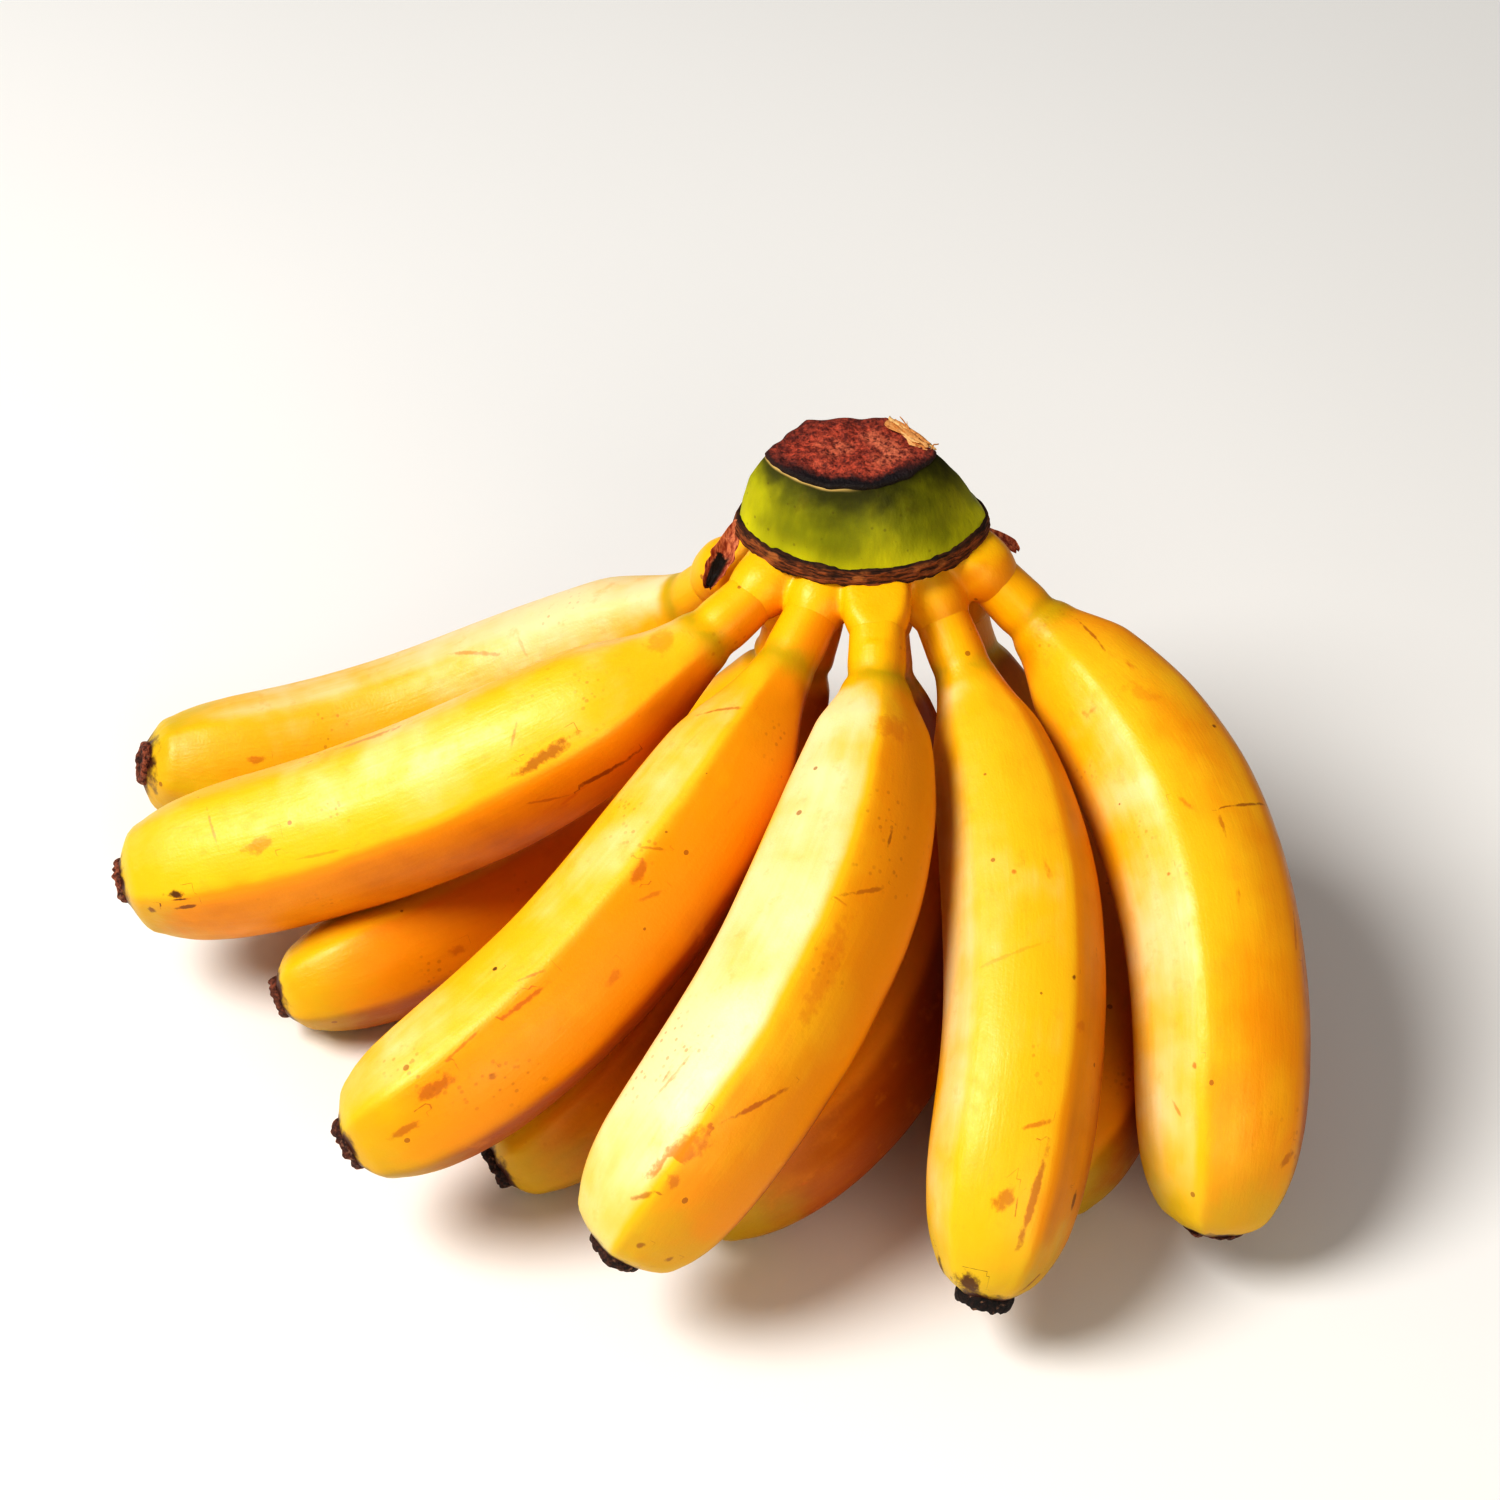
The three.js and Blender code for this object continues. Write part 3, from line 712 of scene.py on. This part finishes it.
def make_base(outline, spines, material):
    """The necks' upper ends, fused to one another under the scar."""
    foot = BAND_LOW[2]
    roof = foot + BASE_ROOF
    chains = []
    for spine in spines.values():
        line = spine.centre(np.array(NECK_PLACES))
        out = CROWN_AXIS[:2] + NECK_INNER * (line[0, :2] - CROWN_AXIS[:2])
        ends = [np.array([*out, foot - NECK_DEPTH]), *line]
        chains.append(zip(ends[:-1], ends[1:], NECK_RADII[:-1], NECK_RADII[1:]))
    links = list(itertools.chain(*chains))

    def field(points):
        total = np.zeros(points.shape[:-1])
        for start, end, first, last in links:
            axis = end - start
            share = np.clip((points - start) @ axis / (axis @ axis), 0, 1)
            gap = np.linalg.norm(points - start - share[..., None] * axis, axis=-1)
            total += np.exp(-BASE_BLEND * (gap - first - (last - first) * share))
        depth = np.clip(foot - points[..., 2], 0, 16)
        half = np.array(STUB_HALF) - np.array(STUB_TAPER) * depth[..., None] ** 2
        reach = np.linalg.norm((points[..., :2] - CROWN_AXIS[:2]) / half, axis=-1)
        beside = (reach - 1) * half[..., 1]
        total += np.exp(-BASE_BLEND * np.maximum(beside, foot - STUB_DEPTH - points[..., 2]))
        blend = -np.log(total + 1e-30) / BASE_BLEND
        lid = points[..., 2] - roof + 0.3 * np.maximum(beside - 1, 0)
        return np.logaddexp(1.6 * blend, 1.6 * lid) / 1.6 + 0.12 * lumps(points, 4.0, 51)

    reach = np.array([spine.centre(np.array([0.0, 9.0])) for spine in spines.values()]).reshape(-1, 3)
    low = reach.min(0) - 10
    high = np.array([*(reach.max(0)[:2] + 10), roof + 2])
    thing, points = field_skin("neck_base", field, low, high, BASE_STEP)
    # Painted light on the base too: painted highlight where it looks up and to the left, painted shade where
    # it looks away.
    slope = np.stack([field(points + step) - field(points - step) for step in np.eye(3) * 0.5], -1)
    painted_light = unit(slope) @ unit(np.array(PAINTED_LIGHT_SIDE))
    paint(thing, {"straight": points * MM, "mark": FAR + 0 * points, "painted_light": painted_light})
    # The peel's other attributes are the same all over the base: a neck's, with no marks.
    for key, value in (("from_root", 8 * MM), ("to_tip", 100 * MM), ("mark_strength", 0), ("mark_dark", 0)):
        paint(thing, {key: np.full(len(points), value)})
    add_piece(thing, material, "peel", "crown")


# ---------------------------------------------------------------- dry scraps

# Each nub: how far its ragged rim stands out, the share of red in its brown, and how ragged it is.
TIPS = {
    "upper_1": (1.5, 0.9, 0.25),
    "upper_2": (1.7, 0.75, 0.6),
    "upper_3": (1.9, 0.35, 0.6),
    "upper_4": (2.0, 0.15, 0.5),
    "upper_5": (2.6, 0.0, 0.35),
    "upper_6": (0.9, 0.5, 1.0),
    "lower_1": (1.8, 0.5, 0.35),
    "lower_2": (1.9, 0.1, 0.5),
    "lower_3": (1.8, 0.3, 0.4),
    "lower_4": (1.8, 0.3, 0.4),
}
TIP_COLUMNS = 72
# The nub's profile: shares of its radius and of its height, from the peel to the hollow in its middle.
TIP_SHAPE = (
    (0.94, -0.5), (1.03, -0.1), (1.06, 0.15), (1.05, 0.4), (1.02, 0.65), (0.97, 0.86), (0.9, 0.98),
    (0.82, 1.0), (0.73, 0.93), (0.65, 0.78), (0.57, 0.6), (0.47, 0.5), (0.35, 0.46), (0.22, 0.5), (0.1, 0.52),
)


def make_tip(name, number, spine, material):
    height, red, ragged = TIPS[name]
    centre, forward, across, above = (value[0] for value in spine.frame_at(np.array([spine.length])))
    points = cad_points("tip_" + name) - centre
    radius = np.linalg.norm(points - (points @ forward)[:, None] * forward, axis=1).max()
    angle = full_turn(TIP_COLUMNS)
    shape = np.array(TIP_SHAPE)
    turn = np.stack([np.cos(angle), np.sin(angle), np.zeros(TIP_COLUMNS)], -1) * radius
    seeded = turn + np.array([0, 0, 40.0 * number])
    torn = 1 + ragged * (0.55 * lumps(seeded, 2.6, 61) + 0.45 * lumps(seeded, 1.0, 62))
    rise = shape[:, 1:] * height * np.where(shape[:, 1:] > 0.3, torn[None], 1)
    wall = seeded[None] + np.array([0, 0, 0.35]) * rise[..., None]
    crumple = 0.22 * lumps(wall, 1.3, 63) + 0.12 * lumps(wall, 0.55, 64)
    reach = shape[:, :1] * radius * (1 + 0.05 * lumps(seeded, 4, 65))[None] + crumple
    place = np.concatenate([reach[..., None] * turn[None, :, :2] / radius, rise[..., None]], -1)
    rise = rise + 0.25 * lumps(place, 0.9, 66)
    rows = centre + forward * rise[..., None] + around_line(reach, angle, across, above)
    inside = columns(smooth(6, 11, np.arange(len(shape))), TIP_COLUMNS)
    thing = loft("dried_tip_" + name, rows, {"place": rows * MM, "inside": inside, "red": 0 * inside + red})
    add_piece(thing, material, "dried_tip", "tip_" + name)


SCRAP_STEPS, SCRAP_COLUMNS = 40, 17
SCRAP_THICKNESS, SCRAP_SAG = 0.22, 0.8


def make_scrap(name, node, side, widest, fold, heading, material):
    """A dry, folded scrap of bract that hangs down and away from the scar, to the left or to the right."""
    low, high = in_mm(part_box(node))
    if side < 0:
        top = high + np.array([0.9, -0.9, 0.6])
        bottom = low + np.array([1, 1, 0])
    else:
        middle_y = (low[1] + high[1]) / 2
        top = np.array([low[0] - 0.8, middle_y, high[2] + 0.3])
        bottom = np.array([high[0] - 0.4, middle_y - 0.4, low[2] - 0.6])
    turn = math.radians(heading)
    along = np.array([math.cos(turn), math.sin(turn), 0])
    through = np.array([along[1], -along[0], 0])
    share = np.linspace(0, 1, SCRAP_STEPS)
    v = np.linspace(-1, 1, SCRAP_COLUMNS)
    path = top + (bottom - top) * share[:, None] - through * (SCRAP_SAG * np.sin(np.pi * share))[:, None]
    half = widest * (0.32 + 0.68 * np.sin(np.pi * share**1.25) ** 0.8) * (1 - 0.35 * share)
    ragged = half[:, None] * (1 + 0.16 * lumps(path, 1.6, 71)[:, None] * v[None])
    bend = fold * (0.6 + 0.4 * share)[:, None] * v[None]
    sheet = (
        path[:, None]
        + along * (ragged * np.sin(bend) / fold)[..., None]
        + through * (ragged * (1 - np.cos(bend)) / fold)[..., None]
    )
    sheet = sheet + through * (0.35 * lumps(sheet, 2.2, 72) + 0.15 * lumps(sheet, 0.9, 73))[..., None]
    sheet[..., 2] += 0.8 * lumps(np.stack([v * 3, v * 0, v * 0], -1), 0.9, 74)[None] * share[:, None] ** 2
    thickness = SCRAP_THICKNESS * (1 - 0.6 * abs(v))[None, :, None]
    rows = np.concatenate([sheet - through * thickness, (sheet + through * thickness)[:, ::-1]], axis=1)
    # hollow marks the middle of the fold's inner side, where the bract material paints shade.
    hollow = np.concatenate([0 * bend, np.repeat((1 - v**2)[None], len(share), 0)], axis=1) * (side < 0)
    down = columns(share, rows.shape[1])
    thing = loft(name, rows, {"place": rows * MM, "hollow": hollow, "down": down})
    add_piece(thing, material, "bract", node)


STRANDS, LOOSE_STRANDS = 34, 3
STRAND_STEPS, STRAND_SIDES = 18, 8
STRAND_SEED = 5
# A loose strand's width, and how far its end springs outwards and upwards.
LOOSE_WIDTH, LOOSE_OUT, LOOSE_LIFT = 0.18, 2.0, 1.6


def make_fibre(outline, material):
    """The strip torn off along the cut: flat strands that lie against its edge, some of them loose."""
    _, x, _, half_x, *_ = outline.rows[-1]
    points = cad_points("torn_fibre")
    cover = np.arccos(np.clip((points[:, 0] - x) / (half_x + 0.9), -1, 1))
    random = np.random.default_rng(STRAND_SEED)
    share = np.linspace(0, 1, STRAND_STEPS)
    around = full_turn(STRAND_SIDES)
    blocks = []
    for number in range(STRANDS):
        loose = number >= STRANDS - LOOSE_STRANDS
        start = random.uniform(cover.min(), cover.max() - 0.25)
        reach = random.uniform(0.2, 0.6)
        angle = np.minimum(start + reach * share, cover.max())
        spring = share**2 * loose
        out = random.uniform(-2.4, 0.5) + 0.2 * np.sin(7 * share + number) + LOOSE_OUT * spring
        slope = 0.9 * np.maximum(out, 0)
        height = outline.high + random.uniform(0.7, 1.6) - slope + LOOSE_LIFT * spring
        taper = np.sin(np.pi * (0.06 + 0.88 * share)) ** 0.6
        wide = (LOOSE_WIDTH if loose else random.uniform(0.4, 0.85)) * taper
        ripple = 0.1 * lumps(np.stack([share * 9, share * 0, share * 0 + number], -1), 1, 81)
        shape_z = height[:, None] + 0.16 * np.sin(around) + ripple[:, None]
        shape_out = out[:, None] + wide[:, None] * np.cos(around)
        rows = outline.point(np.minimum(shape_z, outline.high), columns(angle, STRAND_SIDES), shape_out)
        rows[..., 2] = shape_z
        blocks.append(rows)
    blocks = np.array(blocks)
    tone = np.repeat(random.random(STRANDS), STRAND_STEPS * STRAND_SIDES)
    thing = tubes("torn_strands", blocks, {"place": blocks * MM, "tone": tone})
    add_piece(thing, material, "fibre", "torn_fibre")


# ---------------------------------------------------------------- material helper


def linear(code):
    """A colour written as RRGGBB, in the linear values that shaders use."""
    parts = [int(code[i : i + 2], 16) / 255 for i in (0, 2, 4)]
    return [p / 12.92 if p <= 0.04045 else ((p + 0.055) / 1.055) ** 2.4 for p in parts] + [1]


class Nodes:
    """Short ways to add the shader nodes that the materials share."""

    def __init__(self, name):
        self.material = bpy.data.materials.new(name)
        self.material.use_nodes = True
        self.tree = self.material.node_tree
        self.shader = self.tree.nodes["Principled BSDF"]

    def add(self, kind, inputs, **settings):
        node = self.tree.nodes.new(kind)
        for key, value in settings.items():
            setattr(node, key, value)
        self.fill(node, inputs)
        return node

    def fill(self, node, inputs):
        for key, value in inputs.items():
            self.link(value, node.inputs[key])

    def link(self, value, target):
        """Joins another node's output to a socket, or sets it to a number or to a colour as RRGGBB."""
        if isinstance(value, bpy.types.NodeSocket):
            self.tree.links.new(value, target)
        else:
            target.default_value = linear(value) if isinstance(value, str) else value

    def attribute(self, name, vector=False):
        node = self.add("ShaderNodeAttribute", {}, attribute_name=name)
        return node.outputs["Vector" if vector else "Fac"]

    def maths(self, operation, a, b=0.0, kind="ShaderNodeMath"):
        return self.add(kind, {0: a, 1: b}, operation=operation).outputs[0]

    def plus(self, a, b):
        return self.maths("ADD", a, b)

    def times(self, a, b):
        return self.maths("MULTIPLY", a, b)

    def swing(self, noise, width):
        """Turns noise from 0 to 1 into one from -width / 2 to width / 2."""
        return self.times(self.maths("SUBTRACT", noise, 0.5), width)

    def scaled(self, vector, scale):
        return self.maths("MULTIPLY", vector, scale, "ShaderNodeVectorMath")

    def length(self, vector):
        return self.add("ShaderNodeVectorMath", {0: vector}, operation="LENGTH").outputs["Value"]

    def noise(self, vector, size, detail=2.0, roughness=0.5, distortion=0.0):
        """Noise from 0 to 1 whose spots are about as wide as size, in metres."""
        inputs = {"Vector": vector, "Scale": 1 / size, "Detail": detail, "Roughness": roughness}
        return self.add("ShaderNodeTexNoise", {**inputs, "Distortion": distortion}).outputs["Fac"]

    def cells(self, vector, size):
        return self.add("ShaderNodeTexVoronoi", {"Vector": vector, "Scale": 1 / size})

    def ramp(self, value, low, high, start=0.0, end=1.0):
        """start below low, end above high, smooth between."""
        inputs = {"Value": value, "From Min": low, "From Max": high, "To Min": start, "To Max": end}
        return self.add("ShaderNodeMapRange", inputs, interpolation_type="SMOOTHSTEP").outputs["Result"]

    def mix(self, share, a, b):
        return self.add("ShaderNodeMix", {"Factor": share, 6: a, 7: b}, data_type="RGBA").outputs[2]

    def bump(self, height, distance, under=None):
        """Small relief, on top of other relief when under is given."""
        below = {} if under is None else {"Normal": under}
        inputs = {"Height": height, "Distance": distance, "Strength": 1.0, **below}
        return self.add("ShaderNodeBump", inputs).outputs["Normal"]

    def over(self, share, colour, most=1.0):
        """Lays a colour over what has been mixed so far, by a share that most can hold back."""
        if most != 1.0:
            share = self.times(share, most)
        self.colour = self.mix(share, self.colour, colour)

    def finish(self, roughness, normal=None):
        below = {} if normal is None else {"Normal": normal}
        self.fill(self.shader, {"Base Color": self.colour, "Roughness": roughness, **below})
        return self.material


# ---------------------------------------------------------------- materials


def peel_material():
    n = Nodes("banana_peel")
    at = n.attribute("straight", vector=True)
    from_root = n.attribute("from_root")
    to_tip = n.attribute("to_tip")
    painted_light = n.attribute("painted_light")

    cloud = n.noise(at, 0.022, 3, 0.55)
    mottle = n.noise(at, 0.0045, 4, 0.65)
    streaks = n.noise(n.scaled(at, (1, 1, 0.07)), 0.0026, 3, 0.6)
    # Painted light: pale cream as painted highlight on faces that look up and to the left, deep orange as
    # painted shade on faces that look away and on the lower row, broken up by random cloud and streaks of
    # tone.
    painted_light_and_tone = n.plus(n.plus(painted_light, n.swing(cloud, 1.0)), n.swing(streaks, 0.2))
    n.colour = n.mix(n.ramp(painted_light_and_tone, -1.1, -0.1), "AC5600", "F09C00")
    n.over(n.ramp(painted_light_and_tone, 0.0, 0.55), "FBC21E")
    n.over(n.ramp(painted_light_and_tone, 0.58, 1.15, 0, 0.92), "FBE6B4")
    n.over(n.ramp(mottle, 0.55, 0.75, 0, 0.25), "F0A01C")

    # The neck is a deeper yellow, with a greenish line at the shoulder, and the end turns green too.
    uneven = n.noise(at, 0.009, 3)
    shift = n.swing(uneven, 0.006)
    place = n.plus(from_root, shift)
    neck = n.ramp(place, 0.0235, 0.0205)
    # The neck's yellow also carries painted light: deeper orange as painted shade on its side away from the
    # light.
    yellow = n.mix(n.ramp(painted_light_and_tone, -0.2, 0.6), "EE9C00", "FABE02")
    n.over(neck, yellow)
    shoulder = n.ramp(n.maths("ABSOLUTE", n.maths("SUBTRACT", place, 0.0195)), 0.0055, 0.0, 0, 0.6)
    n.over(n.times(shoulder, n.ramp(uneven, 0.25, 0.6)), "A89C06")
    tip_green = n.ramp(n.plus(to_tip, n.times(uneven, 0.02)), 0.030, 0.012, 0, 0.55)
    n.over(tip_green, "C3B30F")

    # Freckles, clustered specks, bruises and rubbed streaks, and a brown ring around the dried tip.
    freckle = n.cells(at, 0.0085)
    spot_size = n.ramp(freckle.outputs["Color"], 0.2, 1.0, 0.0, 0.08)
    spot = n.maths("LESS_THAN", freckle.outputs["Distance"], spot_size)
    n.over(spot, "96500C", 0.65)
    clusters = n.ramp(n.noise(at, 0.02, 2), 0.58, 0.7)
    speck = n.cells(at, 0.0017)
    specks = n.times(n.ramp(speck.outputs["Distance"], 0.3, 0.16), clusters)
    n.over(specks, "B4660F", 0.4)
    rubbed = n.noise(n.scaled(at, (1, 1, 0.3)), 0.007, 4, 0.7, 0.6)
    rub = n.times(n.ramp(rubbed, 0.64, 0.74), n.ramp(cloud, 0.45, 0.62))
    n.over(rub, "D2690A", 0.55)
    mark = n.attribute("mark", vector=True)
    wander = n.noise(at, 0.0022, 4, 0.65)
    torn = n.swing(wander, 2.4)
    inside = n.ramp(n.plus(n.length(mark), torn), 1.15, 0.45)
    shown = n.times(inside, n.attribute("mark_strength"))
    stain = n.mix(n.attribute("mark_dark"), "E07A10", "2A0E04")
    n.over(shown, stain)
    end_brown = n.ramp(n.plus(to_tip, n.times(mottle, 0.005)), 0.0042, 0.0026)
    n.over(end_brown, "4A2210")

    roughness = n.ramp(mottle, 0.3, 0.7, 0.36, 0.48)
    fibres = n.noise(n.scaled(at, (1, 1, 0.12)), 0.0009, 2)
    pores = n.noise(at, 0.0006, 2)
    glow = {"Subsurface Weight": 0.12, "Subsurface Radius": (0.006, 0.0018, 0.0004), "Subsurface Scale": 1.0}
    n.fill(n.shader, {**glow, "IOR": 1.45})
    return n.finish(roughness, n.bump(pores, 0.00004, n.bump(fibres, 0.00006)))


def crown_material():
    n = Nodes("crown_skin")
    at = n.attribute("place", vector=True)
    up = n.attribute("up")
    tall = n.scaled(at, (1, 1, 0.35))
    patches = n.ramp(n.noise(tall, 0.011, 3, 0.55), 0.3, 0.7)
    n.colour = n.mix(patches, "7E8004", "BCB80A")
    light = n.ramp(n.plus(up, n.times(n.noise(tall, 0.008, 2), 0.5)), 0.75, 0.25)
    n.over(light, "DCD814", 0.65)
    dark = n.ramp(n.plus(up, n.times(n.noise(at, 0.007, 3), 0.5)), 0.8, 1.25)
    n.over(dark, "3C3C04")
    x = n.add("ShaderNodeSeparateXYZ", {0: at}).outputs[0]
    right = n.ramp(x, (CROWN_AXIS[0] + 8) * MM, (CROWN_AXIS[0] + 23) * MM)
    upper_right = n.times(right, n.ramp(up, 0.25, 0.85))
    n.over(upper_right, "2C2204", 0.75)
    stain = n.ramp(n.noise(n.scaled(at, (1, 1, 0.5)), 0.005, 4, 0.6), 0.62, 0.75)
    n.over(stain, "6A5E06", 0.5)
    speck = n.cells(at, 0.0026)
    specks = n.ramp(speck.outputs["Distance"], 0.16, 0.07)
    n.over(specks, "4A3A10", 0.35)
    left = n.ramp(x, CROWN_AXIS[0] * MM, (CROWN_AXIS[0] - 6) * MM)
    n.over(n.times(n.ramp(up, 0.955, 0.985), left), "C2A566")
    corky = n.ramp(n.plus(up, n.times(n.noise(at, 0.003, 2), 0.08)), 0.13, 0.06)
    n.over(corky, "4A2E10")
    roughness = n.ramp(patches, 0, 1, 0.5, 0.62)
    ribs = n.noise(n.scaled(at, (1, 1, 0.15)), 0.0016, 2)
    pores = n.noise(at, 0.0007, 2)
    glow = {"Subsurface Weight": 0.08, "Subsurface Radius": (0.002, 0.003, 0.0006)}
    n.fill(n.shader, {**glow, "Specular IOR Level": 0.25})
    return n.finish(roughness, n.bump(pores, 0.00006, n.bump(ribs, 0.00018)))


def cut_material():
    n = Nodes("dried_cut")
    at = n.attribute("place", vector=True)
    edge = n.attribute("edge")
    front = n.attribute("front")
    grain = n.noise(at, 0.0011, 4, 0.7)
    n.colour = n.mix(n.ramp(grain, 0.35, 0.66), "6E261C", "CC5C42")
    pale = n.ramp(n.noise(at, 0.009, 3), 0.42, 0.62)
    deep_in = n.ramp(edge, 0.0025, 0.0075)
    tan = n.times(n.times(pale, deep_in), n.ramp(grain, 0.35, 0.6))
    n.over(tan, "E08A66", 0.7)
    pits = n.cells(at, 0.0012)
    n.over(n.ramp(pits.outputs["Distance"], 0.3, 0.15, 0, 0.6), "2A0D0C")
    wavy = n.plus(edge, n.swing(n.noise(at, 0.004, 3), 0.005))
    front_dark = n.times(n.ramp(wavy, 0.0042, 0.0012), n.plus(0.35, n.times(front, 0.65)))
    n.over(front_dark, "170A12")
    line = n.ramp(edge, 0.0006, 0.0)
    n.over(line, "1B0F0A", 0.8)
    normal = n.bump(n.noise(at, 0.0008, 4, 0.7), 0.0006)
    return n.finish(n.ramp(grain, 0.3, 0.7, 0.5, 0.8), normal)


def scar_material():
    n = Nodes("corky_scar")
    along = n.attribute("along", vector=True)
    across = n.attribute("across")
    strands = n.noise(n.scaled(along, (0.14, 1, 1)), 0.0005, 3, 0.65)
    clumps = n.noise(n.scaled(along, (0.6, 1, 1)), 0.0025, 3, 0.6)
    n.colour = n.mix(n.ramp(strands, 0.36, 0.64), "3A1C0C", "96542A")
    n.over(n.ramp(clumps, 0.52, 0.72, 0, 0.6), "C07C40")
    n.over(n.ramp(clumps, 0.45, 0.3, 0, 0.7), "2C150A")
    low_edge = n.ramp(across, 0.22, 0.1)
    high_edge = n.ramp(across, 0.8, 0.92)
    n.over(n.maths("MAXIMUM", low_edge, high_edge), "190B06", 0.8)
    height = n.plus(strands, n.times(clumps, 0.7))
    return n.finish(0.85, n.bump(height, 0.0006))


def bract_material():
    n = Nodes("dry_bract")
    at = n.attribute("place", vector=True)
    hollow = n.attribute("hollow")
    down = n.attribute("down")
    veins = n.noise(n.scaled(at, (1, 1, 0.2)), 0.0007, 3, 0.6)
    n.colour = n.mix(n.ramp(veins, 0.35, 0.68), "8A3A24", "E09068")
    patch = n.ramp(n.noise(at, 0.003, 3), 0.5, 0.62)
    n.over(patch, "A03F26", 0.5)
    # Painted shade: near black in the middle of the fold's inner side, towards its lower end.
    low_part = n.ramp(n.plus(down, n.times(patch, 0.15)), 0.55, 0.7)
    n.over(n.times(n.ramp(hollow, 0.5, 0.85), low_part), "120705")
    return n.finish(0.7, n.bump(veins, 0.0005))


def fibre_material():
    n = Nodes("torn_fibre")
    at = n.attribute("place", vector=True)
    tone = n.attribute("tone")
    n.colour = n.mix(tone, "C98444", "EDC488")
    dirt = n.noise(at, 0.0016, 3, 0.6)
    n.over(n.ramp(dirt, 0.55, 0.7, 0, 0.7), "8C4A22")
    return n.finish(0.8, n.bump(n.noise(n.scaled(at, (1, 1, 3)), 0.0006, 2), 0.0003))


def tip_material():
    n = Nodes("dried_tip")
    at = n.attribute("place", vector=True)
    inside = n.attribute("inside")
    red = n.attribute("red")
    grain = n.noise(at, 0.0009, 4, 0.65)
    dark = n.mix(n.ramp(grain, 0.4, 0.75), "0D0706", "3A2018")
    rusty = n.mix(n.ramp(grain, 0.35, 0.7), "4A1C12", "B5694A")
    n.colour = n.mix(red, dark, rusty)
    fibres = n.ramp(n.noise(at, 0.0016, 3), 0.6, 0.72, 0, 0.55)
    n.over(fibres, "B08468")
    n.over(inside, "120806", 0.85)
    return n.finish(0.75, n.bump(grain, 0.0007))


PEEL = peel_material()
spines = {}
for number, name in enumerate(UPPER + LOWER):
    spines[name] = make_finger(name, number, PEEL, BAND_LOW[2])
TIP = tip_material()
for number, name in enumerate(UPPER + LOWER):
    make_tip(name, number, spines[name], TIP)
outline = Outline()
rim = make_flank(outline, crown_material())
make_cut(outline, rim, cut_material())
make_scar(outline, scar_material())
make_base(outline, spines, PEEL)
BRACT = bract_material()
make_scrap("bract_flap", "bract_flap_left", -1, 4.3, 1.1, -15, BRACT)
make_scrap("bract_scrap", "bract_scrap_right", 1, 3.0, 1.0, 40, BRACT)
make_fibre(outline, fibre_material())

# ---------------------------------------------------------------- camera, light and floor

CAMERA_ELEVATION = 43.0  # degrees above the horizon
CAMERA_DISTANCE = 0.7287
CAMERA_LENS = 85.0
CAMERA_SENSOR = 36.0
AIM_FROM_CROWN = (-0.0222, -0.0119)  # where the camera looks, from the crown's axis
AIM_HEIGHT = 0.0402
SKY_LIGHT = 0.16
FLOOR_REACH = 6.0


def add_camera():
    data = bpy.data.cameras.new("camera")
    data.lens = CAMERA_LENS
    data.sensor_width = CAMERA_SENSOR
    camera = bpy.data.objects.new("camera", data)
    bpy.context.scene.collection.objects.link(camera)
    tilt = math.radians(CAMERA_ELEVATION)
    aim = (CROWN_AXIS[0] * MM + AIM_FROM_CROWN[0], CROWN_AXIS[1] * MM + AIM_FROM_CROWN[1], AIM_HEIGHT)
    camera.location = (
        aim[0],
        aim[1] - CAMERA_DISTANCE * math.cos(tilt),
        aim[2] + CAMERA_DISTANCE * math.sin(tilt),
    )
    camera.rotation_euler = (math.pi / 2 - tilt, 0, 0)
    bpy.context.scene.camera = camera


def add_light(name, place, size, power, colour):
    data = bpy.data.lights.new(name, "AREA")
    data.shape = "DISK"
    data.size = size
    data.energy = power
    data.color = colour
    light = bpy.data.objects.new(name, data)
    bpy.context.scene.collection.objects.link(light)
    centre = (CAD_LOW + CAD_HIGH) / 2
    light.location = [centre[i] + place[i] for i in range(3)]
    aim = centre - light.location
    light.rotation_euler = aim.to_track_quat("-Z", "Y").to_euler()


def add_floor():
    mesh = bpy.data.meshes.new("floor")
    corners = [(x * FLOOR_REACH, y * FLOOR_REACH, 0) for x, y in ((-1, -1), (1, -1), (1, 1), (-1, 1))]
    mesh.from_pydata(corners, [], [(0, 1, 2, 3)])
    floor = bpy.data.objects.new("floor", mesh)
    bpy.context.scene.collection.objects.link(floor)
    n = Nodes("floor_paint")
    place = n.add("ShaderNodeNewGeometry", {}).outputs["Position"]
    tone = n.ramp(n.noise(place, 0.4, 2), 0.3, 0.7)
    n.colour = n.mix(tone, "F4F3F1", "F7F6F4")
    floor.data.materials.append(n.finish(0.7))


def add_world():
    world = bpy.data.worlds.new("studio")
    world.use_nodes = True
    background = world.node_tree.nodes["Background"]
    background.inputs["Color"].default_value = (1, 1, 1, 1)
    background.inputs["Strength"].default_value = SKY_LIGHT
    bpy.context.scene.world = world


add_camera()
add_light("key", (-0.8, -0.25, 1.1), 0.7, 15.5, (1, 0.98, 0.95))
add_light("fill", (0.4, -1.2, 0.6), 0.9, 4.5, (1, 0.93, 0.82))
add_floor()
add_world()
bpy.context.scene.view_settings.view_transform = "Standard"
bpy.context.scene.view_settings.look = "High Contrast"
